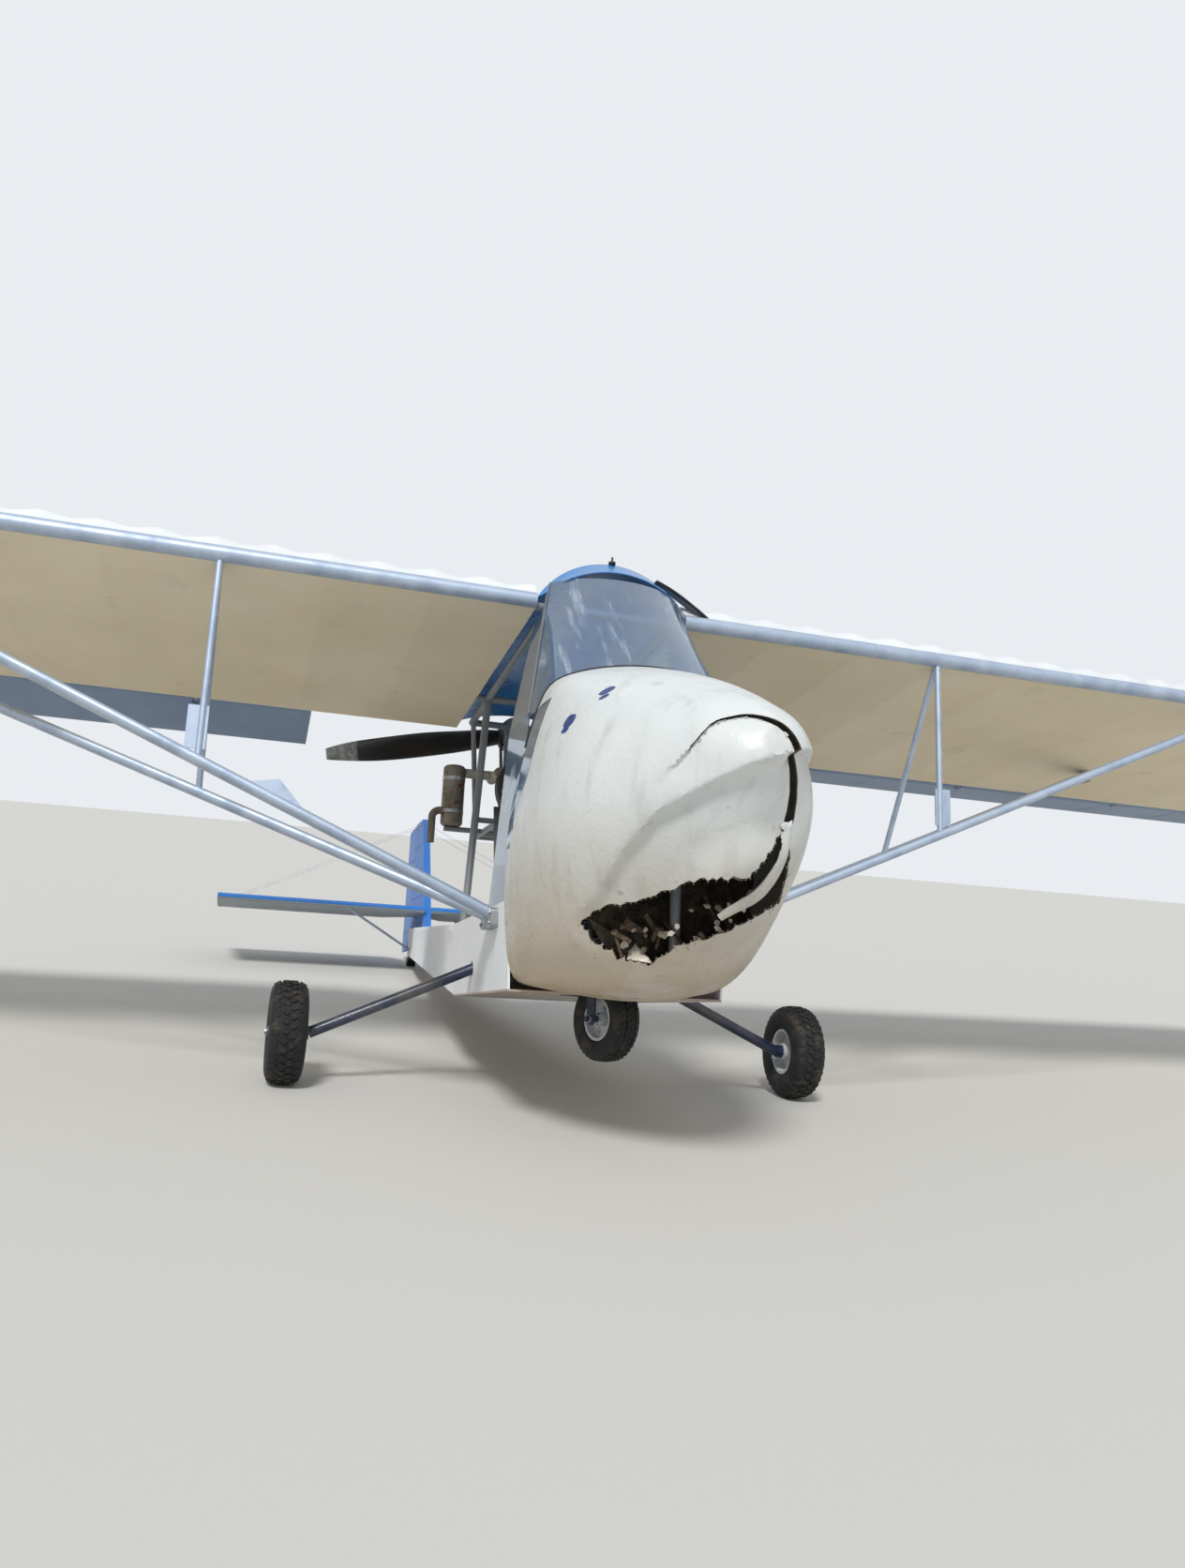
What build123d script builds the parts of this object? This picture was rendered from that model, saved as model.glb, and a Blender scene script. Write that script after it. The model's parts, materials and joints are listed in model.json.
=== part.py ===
import os
from math import asin, atan2, cos, degrees, hypot, radians, sin

from build123d import *

os.makedirs("parts", exist_ok=True)

# Sizes are in millimetres and degrees. The aircraft is drawn level, nose along -Y, its left side along +X,
# with the middle of the main axle as origin. At the end every piece is turned nose-up onto wheels and skid.

# Fits
seat_gap = 0.3
bore_clearance = 0.05
swing_gap = 8.0

# Main wheels and legs
tyre_radius = 160.0
tyre_width = 115.0
rim_radius = 78.0
rim_width = 92.0
axle_radius = 12.0
hub_radius = 28.0
half_track = 878.0
leg_radius = 18.0
leg_root_x = 262.0
leg_root_y = -30.0
leg_root_z = 245.0
leg_end_gap = 22.0

# Nosewheel, pushed up and back under the nose and turned to the left
nose_tyre_radius = 121.0
nose_tyre_width = 88.0
nose_rim_radius = 62.0
nose_rim_width = 66.0
nose_axle_radius = 9.0
nose_axle_y = -540.0
nose_axle_z = 79.0
nose_turn = 20.0
wheel_well_radius = 142.0
fork_blade = 7.0
fork_width = 36.0
fork_crown_z = 228.0
steer_tube_radius = 15.0
steer_tube_top = 380.0
tow_pin = 16.0

# Wing
half_span = 4500.0
wing_root_x = 252.0
wing_y = -448.0
wing_z = 1381.0
wing_chord = 1337.0
wing_incidence = 4.7
spar_tube_radius = 25.0
wing_crest = 112.0
wing_crest_at = 340.0
trailing_edge = 16.0

# Ailerons, behind the trailing edge and outboard of the propeller
aileron_inner_x = 850.0
aileron_outer_x = 4440.0
aileron_chord = 235.0
aileron_nose_radius = 15.0
hinge_tube_radius = 8.0
hinge_plate = 8.0
aileron_droop = 18.0
aileron_rise = 3.0
aileron_hinge_count = 4

# Lift struts and jury struts
strut_top_x = 2583.0
strut_front_at = 0.06
strut_rear_at = 0.70
strut_foot_x = 331.0
strut_foot_y = -457.0
strut_foot_z = 359.0
rear_strut_setback = 62.0
strut_long = 62.0
strut_thick = 30.0
strut_socket = 12.0
jury_x = 1216.0
jury_radius = 10.0

# Nose cone and cabin
rim_y = -640.0
cone_wall = 5.0
sill_z = 400.0
cabin_end_y = 385.0
cabin_end_half = 300.0
sill_front_x = 338.0
panel_lean = 15.0
door_front_y = -330.0
panel_wall = 6.0
floor_z = 150.0
tube_radius = 14.0
longeron_z = 178.0
glass_wall = 3.0

# Side window outline at the cone's rim: x and z
window_section = ((338.0, 400.0), (304.0, 960.0), (240.0, 1345.0))

# Rear fuselage and tail
tail_post_y = 3400.0
tail_post_half = 24.0
tail_top_z = 600.0
tail_bottom_z = 430.0
skid_y = 3393.0
skid_z = 394.0
skid_radius = 25.0
stabilizer_y = 2843.0
stabilizer_z = 669.0
stabilizer_chord = 400.0
tail_half_span = 1160.0
tail_thick = 34.0
elevator_chord = 290.0
fin_top_z = 1245.0
rudder_chord = 350.0
rudder_hinge_y = 3442.0
rudder_bottom_z = 470.0

# Engine and propeller
crank_z = 935.0
hub_y = 944.0
hub_z = 1268.0
propeller_radius = 790.0
propeller_shaft_radius = 14.0
mount_z = 800.0


def wing_plane(x):
    """Section plane of the wing at x: local x runs back along the chord and local y goes up."""
    tilt = radians(wing_incidence)
    return Plane(origin=(x, wing_y, wing_z), x_dir=(0, cos(tilt), -sin(tilt)), z_dir=(1, 0, 0))


def wing_point(x, along, up=0.0):
    """Point of the wing at x, this far back along the chord and above it."""
    return wing_plane(x).from_local_coords(Vector(along, up, 0))


def run_plane(start, end):
    """Plane at start that faces end."""
    return Plane(origin=start, z_dir=Vector(*end) - Vector(*start))


def run_length(start, end):
    return (Vector(*end) - Vector(*start)).length


pieces = {}

# Main wheels: tyre and rim turn on an axle that is one with the leg
tyre_corner = 42.0
for side, sign in (("left", 1), ("right", -1)):
    wheel_x = sign * half_track
    with BuildPart() as tyre:
        with BuildSketch(Plane.XZ):
            with Locations((wheel_x, (tyre_radius + rim_radius + seat_gap) / 2)):
                Rectangle(tyre_width, tyre_radius - rim_radius - seat_gap)
            fillet(vertices().group_by(Axis.Y)[-1], tyre_corner)
            fillet(vertices().group_by(Axis.Y)[0], 14)
        revolve(axis=Axis.X)
    pieces[f"main_tyre_{side}"] = tyre

    with BuildPart() as rim:
        with BuildSketch(Plane.YZ.offset(wheel_x - rim_width / 2)):
            Circle(rim_radius)
            Circle(rim_radius - 9, mode=Mode.SUBTRACT)
        extrude(amount=rim_width)
        with BuildSketch(Plane.YZ.offset(wheel_x - 9)):
            Circle(rim_radius - 8)
            with PolarLocations(47, 5):
                Circle(11, mode=Mode.SUBTRACT)
        extrude(amount=18)
        with BuildSketch(Plane.YZ.offset(wheel_x - rim_width / 2)):
            Circle(hub_radius)
        extrude(amount=rim_width)
        with BuildSketch(Plane.YZ.offset(wheel_x - rim_width / 2)):
            Circle(axle_radius + bore_clearance)
        extrude(amount=rim_width, mode=Mode.SUBTRACT)
    pieces[f"main_rim_{side}"] = rim

    leg_end = (sign * (half_track - rim_width / 2 - leg_end_gap), 0, 0)
    leg_root = (sign * leg_root_x, leg_root_y, leg_root_z)
    with BuildPart() as leg:
        with BuildSketch(run_plane(leg_root, leg_end)):
            Circle(leg_radius)
        extrude(amount=run_length(leg_root, leg_end))
        with BuildSketch(Plane.YZ.offset(leg_end[0])):
            Circle(leg_radius + 4)
        extrude(amount=sign * (leg_end_gap - 2), both=False)
        with BuildSketch(Plane.YZ.offset(leg_end[0])):
            Circle(axle_radius)
        extrude(amount=sign * (leg_end_gap + rim_width + 12))
        with BuildSketch(Plane.YZ.offset(sign * (half_track + rim_width / 2 + 2))):
            Circle(axle_radius + 7)
        extrude(amount=sign * 10)
        with BuildSketch(Plane.XY.offset(longeron_z + tube_radius + seat_gap)):
            with Locations((sign * leg_root_x, leg_root_y)):
                Rectangle(44, 70)
        extrude(amount=leg_root_z + 18 - longeron_z - tube_radius)
    pieces[f"gear_leg_{side}"] = leg

# Nosewheel in its fork, all turned about the steering axis
turned = Vector(cos(radians(nose_turn)), sin(radians(nose_turn)), 0)
steer_plane = Plane(origin=(0, nose_axle_y, nose_axle_z), x_dir=turned, z_dir=(0, 0, 1))
nose_axle_plane = Plane(origin=(0, nose_axle_y, nose_axle_z), x_dir=(0, 0, 1), z_dir=turned)
with BuildPart() as nose_tyre:
    with BuildSketch(nose_axle_plane.offset(-nose_tyre_width / 2)):
        Circle(nose_tyre_radius)
        Circle(nose_rim_radius + seat_gap, mode=Mode.SUBTRACT)
    extrude(amount=nose_tyre_width)
    fillet(edges().filter_by(GeomType.CIRCLE).group_by(SortBy.RADIUS)[-1], 32)
pieces["nose_tyre"] = nose_tyre

with BuildPart() as nose_rim:
    with BuildSketch(nose_axle_plane.offset(-nose_rim_width / 2)):
        Circle(nose_rim_radius)
        Circle(nose_rim_radius - 8, mode=Mode.SUBTRACT)
    extrude(amount=nose_rim_width)
    with BuildSketch(nose_axle_plane.offset(-7)):
        Circle(nose_rim_radius - 7)
        with PolarLocations(36, 5):
            Circle(9, mode=Mode.SUBTRACT)
    extrude(amount=14)
    with BuildSketch(nose_axle_plane.offset(-nose_rim_width / 2)):
        Circle(20)
    extrude(amount=nose_rim_width)
    with BuildSketch(nose_axle_plane.offset(-nose_rim_width / 2)):
        Circle(nose_axle_radius + bore_clearance)
    extrude(amount=nose_rim_width, mode=Mode.SUBTRACT)
pieces["nose_rim"] = nose_rim

fork_inner = nose_tyre_width / 2 + 8
with BuildPart() as fork:
    for sign in (1, -1):
        with BuildSketch(nose_axle_plane.offset(sign * fork_inner)):
            with Locations(((fork_crown_z - nose_axle_z) / 2, 0)):
                Rectangle(fork_crown_z - nose_axle_z, fork_width)
            Circle(fork_width / 2)
        extrude(amount=sign * fork_blade)
    with BuildSketch(steer_plane.offset(fork_crown_z - nose_axle_z - 10)):
        Rectangle(2 * (fork_inner + fork_blade), fork_width)
    extrude(amount=12)
    with BuildSketch(steer_plane.offset(fork_crown_z - nose_axle_z)):
        Circle(steer_tube_radius)
    extrude(amount=steer_tube_top - fork_crown_z)
    with BuildSketch(nose_axle_plane.offset(-fork_inner - fork_blade - tow_pin)):
        Circle(nose_axle_radius)
    extrude(amount=2 * (fork_inner + fork_blade + tow_pin))
    with BuildSketch(steer_plane.offset(steer_tube_top - nose_axle_z - 20)):
        Rectangle(240, 16)
    extrude(amount=6)
pieces["nose_fork"] = fork

# Nose cone: a moulded shell lofted through rounded sections, its tip knocked over to the left
# middle x, y, half width, z there, half width and z at the shoulder, crown z,
# half width and z at the chine, keel z, corner radius
cone_sections = (
    (0, -640, 350, 560, 262, 1020, 1118, 318, 172, 140, 60),
    (0, -900, 366, 600, 285, 985, 1052, 292, 235, 140, 60),
    (4, -1150, 328, 650, 236, 903, 966, 236, 345, 226, 55),
    (14, -1360, 234, 675, 170, 820, 872, 165, 474, 392, 40),
    (34, -1490, 138, 692, 100, 770, 805, 98, 596, 552, 25),
    (46, -1560, 48, 698, 34, 729, 744, 34, 666, 652, 10),
)
# The tear in the lower front of the cone, as it shows from ahead: x and z
tear_outline = (
    (-247, 307), (-226, 342), (-126, 368), (-53, 403), (70, 417), (120, 494), (152, 540), (172, 505),
    (214, 420), (230, 378), (158, 346), (45, 283), (-39, 257), (-75, 213), (-143, 228), (-207, 264),
)
# The crack that runs from the tear up its left side and over the tip, as it shows from ahead: x and z
crack_line = (
    (150, 530), (158, 577), (140, 632), (100, 700), (58, 741), (0, 762),
    (-44, 757), (-83, 741), (-127, 681),
)
crack_width = 13.0
# Where the shell ends and the clear side panel takes over, seen from the side: y and z
clear_outline = ((rim_y, 440), (-900, 720), (-900, 930), (rim_y, 930))


def halved(rows):
    """The same rows with one more between each two, on a smooth curve through all of them."""
    ends = [[3 * p - 3 * q + r for p, q, r in zip(*part)] for part in (rows[:3], rows[:-4:-1])]
    padded, denser = [ends[0], *rows, ends[1]], []
    for before, start, stop, after in zip(padded, padded[1:], padded[2:], padded[3:]):
        middle = [(9 * (q + r) - p - s) / 16 for p, q, r, s in zip(before, start, stop, after)]
        denser += [start, middle]
    return denser + [rows[-1]]


cone_rows = halved(cone_sections)


def cone_form(inset):
    """The nose cone as a full solid, with its skin moved in by inset."""
    slant = inset * sin(radians(45))
    with BuildPart() as form:
        for mid, y, half, z, top_half, top_z, crown, low_half, low_z, keel, corner in cone_rows:
            setback = max(inset, 0) if y == cone_rows[-1][1] else 0
            side_x, top_x, low_x = half - inset, top_half - slant, low_half - slant
            high, low = top_z - slant, low_z + slant
            with BuildSketch(Plane.XZ.offset(-y - setback)):
                with BuildLine():
                    ThreePointArc((mid + low_x, low), (mid + side_x, z), (mid + top_x, high))
                    ThreePointArc((mid + top_x, high), (mid, crown - inset), (mid - top_x, high))
                    ThreePointArc((mid - top_x, high), (mid - side_x, z), (mid - low_x, low))
                    ThreePointArc((mid - low_x, low), (mid, keel + inset), (mid + low_x, low))
                make_face()
                fillet(vertices(), corner - max(inset, 0))
        loft(ruled=True)
    return form.part


def clear_form():
    """The wedge on both sides where the clear panels take the cone's place."""
    with BuildPart() as form:
        with BuildSketch(Plane.YZ.offset(-500)):
            with BuildLine():
                Polyline(*clear_outline, (rim_y + 50, 930), (rim_y + 50, 440), (rim_y, 440))
            make_face()
        extrude(amount=1000)
    return form.part


with BuildPart() as cone:
    add(cone_form(0))
    add(cone_form(cone_wall), mode=Mode.SUBTRACT)
    with BuildSketch(Plane.XZ.offset(800)):
        with BuildLine():
            Polyline(*tear_outline, close=True)
        make_face()
    extrude(amount=900, mode=Mode.SUBTRACT)
    with BuildSketch(Plane.XZ.offset(1250)):
        with BuildLine():
            Polyline(*crack_line)
        trace(line_width=crack_width)
    extrude(amount=400, mode=Mode.SUBTRACT)
    add(clear_form(), mode=Mode.SUBTRACT)
    with BuildSketch(Plane.XY.offset(100)):
        with Locations((0, nose_axle_y)):
            Circle(wheel_well_radius)
    extrude(amount=160, mode=Mode.SUBTRACT)
pieces["nose_cone"] = cone

# The strip of the seam flange that has sprung away from the cone on its left side
rim_spring = 26.0
with BuildPart() as rim_strip:
    with BuildSketch(Plane.XZ.offset(945)):
        with BuildLine():
            ThreePointArc((300, 330), (364 + rim_spring + 5, 640), (285, 962))
            Line((285, 962), (281, 956))
            ThreePointArc((281, 956), (364 + rim_spring, 640), (296, 334))
            Line((296, 334), (300, 330))
        make_face()
    extrude(amount=34)
    add(cone_form(-seat_gap), mode=Mode.SUBTRACT)
pieces["rim_strip"] = rim_strip

# Windscreen sections: z, half width at the rear edge, y of the rear edge, y of the middle of the front
screen_sections = ((930, 306, -640, -1010), (1440, 216, -440, -545))


# Cabin tub: a wall on each side and the belly plate, open at the top for the seat
def panel_x(y):
    """Outer face of the side wall at the sill."""
    return sill_front_x + (cabin_end_half - sill_front_x) * (y - rim_y) / (cabin_end_y - rim_y)


def tub_form(skin):
    """The cabin tub as a full solid, with its sides moved out by skin."""
    with BuildPart() as form:
        for y in (rim_y, cabin_end_y):
            sill_x, foot_x = panel_x(y) + skin, panel_x(y) - panel_lean + skin
            with BuildSketch(Plane.XZ.offset(-y)):
                with BuildLine():
                    Polyline(
                        (-foot_x, floor_z), (foot_x, floor_z), (sill_x, sill_z), (-sill_x, sill_z),
                        close=True,
                    )
                make_face()
        loft(ruled=True)
    return form.part


def clear_wedge(sign):
    """The front of the clear panel on one side, which takes the cone's shape."""
    with BuildPart() as wedge:
        add(cone_form(0))
        add(cone_form(glass_wall), mode=Mode.SUBTRACT)
        with BuildSketch(Plane.YZ.offset(sign * 180)):
            with BuildLine():
                Polyline(*clear_outline, close=True)
            make_face()
            offset(amount=-seat_gap, kind=Kind.INTERSECTION, mode=Mode.REPLACE)
        extrude(amount=sign * 300, mode=Mode.INTERSECT)
    return wedge.part


for side, sign in (("left", 1), ("right", -1)):
    with BuildPart() as side_panel:
        for y in (rim_y + seat_gap, cabin_end_y):
            sill_x = panel_x(y)
            foot_x = sill_x - panel_lean
            with BuildSketch(Plane.XZ.offset(-y)):
                with BuildLine():
                    Polyline(
                        (sign * sill_x, sill_z), (sign * (sill_x - panel_wall), sill_z),
                        (sign * (foot_x - panel_wall), floor_z), (sign * foot_x, floor_z), close=True,
                    )
                make_face()
        loft(ruled=True)
        leg_start = (sign * leg_root_x, leg_root_y, leg_root_z)
        leg_stop = (sign * half_track, 0, 0)
        with BuildSketch(run_plane(leg_start, leg_stop)):
            Circle(leg_radius + 4)
        extrude(amount=200, mode=Mode.SUBTRACT)
    pieces[f"side_panel_{side}"] = side_panel

    # Clear panel ahead of the door opening, from the sill up to the roof
    with BuildPart() as side_window:
        for y in (rim_y + seat_gap, door_front_y):
            shift = panel_x(y) - panel_x(rim_y)
            outline = [(x + shift, z) for x, z in window_section]
            inner = [(x - glass_wall, z) for x, z in reversed(outline)]
            with BuildSketch(Plane.XZ.offset(-y)):
                with BuildLine():
                    Polyline(*[(sign * x, z) for x, z in outline + inner], close=True)
                make_face()
        loft(ruled=True)
        (low_z, _, low_y, _), (high_z, _, high_y, _) = screen_sections
        edge_gap = 1 + seat_gap
        with BuildSketch(Plane.YZ.offset(-400)):
            with BuildLine():
                Polyline(
                    (low_y + edge_gap, low_z), (high_y + edge_gap, high_z),
                    (rim_y - 60, high_z), (rim_y - 60, low_z), close=True,
                )
            make_face()
        extrude(amount=800, mode=Mode.SUBTRACT)
        add(clear_wedge(sign))
    pieces[f"side_window_{side}"] = side_window

with BuildPart() as floor_pan:
    front_x, back_x = panel_x(rim_y + seat_gap) - panel_lean, panel_x(cabin_end_y) - panel_lean
    with BuildSketch(Plane.XY.offset(floor_z - panel_wall)):
        with BuildLine():
            Polyline(
                (-front_x, rim_y + seat_gap), (front_x, rim_y + seat_gap),
                (back_x, cabin_end_y), (-back_x, cabin_end_y), close=True,
            )
        make_face()
        with Locations((0, nose_axle_y)):
            Circle(wheel_well_radius, mode=Mode.SUBTRACT)
    extrude(amount=panel_wall)
pieces["floor_pan"] = floor_pan

# Windscreen: one sheet wrapped from the cone up to the roof
def screen_form(inset, open_back):
    """The windscreen as a full solid, with its skin moved in by inset."""
    with BuildPart() as form:
        for z, half, back_y, front_y in screen_sections:
            with BuildSketch(Plane.XY.offset(z)):
                with BuildLine():
                    Line((-half + inset, back_y + open_back), (half - inset, back_y + open_back))
                    Line((half - inset, back_y + open_back), (half - inset, back_y))
                    ThreePointArc((half - inset, back_y), (0, front_y + inset), (-half + inset, back_y))
                    Line((-half + inset, back_y), (-half + inset, back_y + open_back))
                make_face()
        loft(ruled=True)
    return form.part


with BuildPart() as windscreen:
    add(screen_form(0, 1))
    add(screen_form(glass_wall, 30), mode=Mode.SUBTRACT)
    add(cone_form(-seat_gap), mode=Mode.SUBTRACT)
pieces["windscreen"] = windscreen

# Roof: an arched cover over the gap between the wings
# y, half width, height at the edges, height at the middle
roof_edge = wing_root_x - seat_gap
roof_sections = (
    (-505, 160, 1441, 1482), (-430, roof_edge, 1386, 1536),
    (200, roof_edge, 1347, 1492), (860, roof_edge, 1292, 1337),
)
with BuildPart() as roof:
    for inset, mode in ((0.0, Mode.ADD), (glass_wall, Mode.SUBTRACT)):
        for y, half, edge_z, top_z in roof_sections:
            with BuildSketch(Plane.XZ.offset(-y)):
                with BuildLine():
                    side_x, low_z = half - inset, edge_z - inset
                    ThreePointArc((-side_x, low_z), (0, top_z - inset), (side_x, low_z))
                    Line((side_x, low_z), (-side_x, low_z))
                make_face()
        loft(ruled=True, mode=mode)
    add(screen_form(-seat_gap, 60), mode=Mode.SUBTRACT)
pieces["roof"] = roof

# Cabin frame of welded tube: longerons, posts, screen pillars, roof rails and the steering head
seat_front, seat_fold = (-330, 275), (85, 215)


def under_seat(y):
    """Height of the middle of a tube that carries the seat at y."""
    slope = (seat_fold[1] - seat_front[1]) / (seat_fold[0] - seat_front[0])
    return seat_front[1] + slope * (y - seat_front[0]) - (tube_radius + seat_gap) * hypot(1, slope)


rail_front, rail_back = wing_point(205, 40, -12), wing_point(205, 1240, -12)
rear_spar = wing_point(205, strut_rear_at * wing_chord, -12)
pillar_x, pillar_z = 250, 930
forward_y = -1080
frame_back_y = cabin_end_y - tube_radius - 5
frame_runs = []
for sign in (1, -1):
    low_x, sill_tube_x, roof_x = sign * leg_root_x, sign * 304, sign * 205
    frame_runs += [
        ((low_x, rim_y + 40, longeron_z), (low_x, frame_back_y, longeron_z)),
        ((low_x, rim_y + 40, longeron_z), (sign * 135, -930, 250)),
        ((low_x, rim_y + 40, longeron_z), (sill_tube_x, rim_y + 20, sill_z - 20)),
        ((sill_tube_x, rim_y + 20, sill_z - 20), (sign * 268, frame_back_y, sill_z - 20)),
        ((sill_tube_x, rim_y + 20, sill_z - 20), (sign * pillar_x, rim_y + 22, pillar_z)),
        ((sign * pillar_x, rim_y + 22, pillar_z), (roof_x, rail_front.Y, rail_front.Z)),
        ((roof_x, rail_front.Y, rail_front.Z), (roof_x, rail_back.Y, rail_back.Z)),
        ((low_x, frame_back_y, longeron_z), (sign * 268, frame_back_y, sill_z - 20)),
        ((sign * 268, frame_back_y, sill_z - 20), (roof_x, rear_spar.Y, rear_spar.Z)),
        ((low_x, nose_axle_y, longeron_z), (low_x, nose_axle_y, 300)),
        ((low_x, -250, longeron_z), (low_x, -250, under_seat(-250))),
        ((low_x, 20, longeron_z), (low_x, 20, under_seat(20))),
    ]
frame_runs += [
    ((0, -930, 250), (0, forward_y, 240)), ((0, forward_y, 240), (0, forward_y, 500)),
    ((-110, forward_y, 500), (110, forward_y, 500)),
]
corner_runs = len(frame_runs)
for y, z, half in (
    (nose_axle_y, 300, leg_root_x), (-250, under_seat(-250), leg_root_x), (20, under_seat(20), leg_root_x),
    (frame_back_y, longeron_z, leg_root_x), (frame_back_y, sill_z - 20, 268),
    (rail_front.Y, rail_front.Z, wing_root_x - seat_gap),
    (rear_spar.Y, rear_spar.Z, wing_root_x - seat_gap),
    (rail_back.Y, rail_back.Z, 205), (-930, 250, 135),
):
    frame_runs.append(((-half, y, z), (half, y, z)))
with BuildPart() as cabin_frame:
    for start, stop in frame_runs:
        with BuildSketch(run_plane(start, stop)):
            Circle(tube_radius)
        extrude(amount=run_length(start, stop))
    for start, stop in frame_runs[:corner_runs]:
        with Locations(start, stop):
            Sphere(tube_radius)
    with BuildSketch(Plane.XY.offset(258)):
        with Locations((0, nose_axle_y)):
            Circle(steer_tube_radius + 8)
    extrude(amount=90)
    with BuildSketch(Plane.XY.offset(240)):
        with Locations((0, nose_axle_y)):
            Circle(steer_tube_radius + bore_clearance)
    extrude(amount=130, mode=Mode.SUBTRACT)
pieces["cabin_frame"] = cabin_frame

with BuildPart() as seat:
    with BuildSketch(Plane.YZ.offset(-205)):
        with BuildLine():
            Polyline(
                seat_front, seat_fold, (262, 825), (210, 842), (52, 272),
                (seat_front[0], seat_front[1] + 52), close=True,
            )
        make_face()
        fillet(vertices(), 14)
    extrude(amount=410)
pieces["seat"] = seat

with BuildPart() as panel:
    with BuildSketch(Plane.XZ.offset(-(rim_y + 20))):
        with Locations((0, 905)):
            RectangleRounded(2 * (pillar_x - tube_radius - 1), 190, 30)
        with Locations((-150, 925), (-50, 925), (50, 925), (150, 925)):
            Circle(36, mode=Mode.SUBTRACT)
    extrude(amount=4, both=True)
pieces["instrument_panel"] = panel

with BuildPart() as stick:
    with BuildSketch(Plane.XY.offset(floor_z + seat_gap)):
        with Locations((0, -365)):
            Rectangle(50, 40)
    extrude(amount=36)
    with BuildSketch(run_plane((0, -365, floor_z + 30), (0, -430, 600))):
        Circle(10)
    extrude(amount=430)
    with BuildSketch(run_plane((0, -415, 470), (0, -430, 600))):
        Circle(16)
    extrude(amount=120)
pieces["control_stick"] = stick

with BuildPart() as pedals:
    for x in (-105, 105):
        with BuildSketch(Plane.XZ.offset(930 - 4)):
            with Locations((x, 250 + tube_radius + seat_gap + 75)):
                RectangleRounded(90, 150, 12)
        extrude(amount=8)
    with BuildSketch(Plane.XZ.offset(930 - 4)):
        with Locations((0, 250 + tube_radius + seat_gap + 6)):
            Rectangle(280, 12)
    extrude(amount=8)
pieces["rudder_pedals"] = pedals

with BuildPart() as fuel_tank:
    with BuildSketch(Plane.XY.offset(floor_z + seat_gap)):
        with Locations((0, 292)):
            RectangleRounded(400, 112, 28)
    extrude(amount=330)
    fillet(faces().sort_by(Axis.Z)[-1].edges(), 20)
pieces["fuel_tank"] = fuel_tank

# Rear fuselage: a fabric-covered frame that tapers to the tail post
fuselage_sections = (
    (cabin_end_y + seat_gap, cabin_end_half, cabin_end_half - panel_lean, sill_z, floor_z - panel_wall),
    (tail_post_y, tail_post_half, tail_post_half, tail_top_z, tail_bottom_z),
)


def fuselage_top(y):
    run = (y - cabin_end_y) / (tail_post_y - cabin_end_y)
    return sill_z + (tail_top_z - sill_z) * run


with BuildPart() as rear_fuselage:
    for y, top_half, bottom_half, high, low in fuselage_sections:
        with BuildSketch(Plane.XZ.offset(-y)):
            with BuildLine():
                Polyline(
                    (-bottom_half, low), (bottom_half, low), (top_half, high), (-top_half, high), close=True,
                )
            make_face()
            fillet(vertices(), 10)
    loft(ruled=True)
pieces["rear_fuselage"] = rear_fuselage

with BuildPart() as tail_skid:
    with BuildSketch(Plane.YZ.offset(-26)):
        with BuildLine():
            Polyline(
                (skid_y - 160, 460), (skid_y - 120, 460),
                (skid_y + 8, skid_z + 12), (skid_y - 12, skid_z - 14),
                close=True,
            )
        make_face()
        with Locations((skid_y, skid_z)):
            Circle(skid_radius)
    extrude(amount=52)
    add(rear_fuselage.part, mode=Mode.SUBTRACT)
pieces["tail_skid"] = tail_skid

# Wings: the skin behind the spar tube that forms the leading edge
crest = (wing_crest_at, wing_crest)
tube_centre = (spar_tube_radius, 0)
with BuildPart() as wing_left:
    with BuildSketch(wing_plane(wing_root_x)):
        with BuildLine():
            front = TangentArc(crest, (12, spar_tube_radius - 4), tangent=(-1, 0))
            back = TangentArc(crest, (wing_chord, trailing_edge / 2), tangent=(1, 0))
            Polyline(
                back @ 1, (wing_chord, -trailing_edge / 2),
                (spar_tube_radius + 4, -spar_tube_radius), front @ 1,
            )
        make_face()
        with Locations(tube_centre):
            Circle(spar_tube_radius + seat_gap, mode=Mode.SUBTRACT)
    extrude(amount=half_span - wing_root_x)
with BuildPart() as wing_right:
    add(mirror(wing_left.part, about=Plane.YZ))
with BuildPart() as spar_left:
    with BuildSketch(wing_plane(wing_root_x)):
        with Locations(tube_centre):
            Circle(spar_tube_radius)
    extrude(amount=half_span - wing_root_x)
with BuildPart() as spar_right:
    add(mirror(spar_left.part, about=Plane.YZ))
pieces["wing_left"], pieces["wing_right"] = wing_left, wing_right
pieces["front_spar_left"], pieces["front_spar_right"] = spar_left, spar_right

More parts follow.
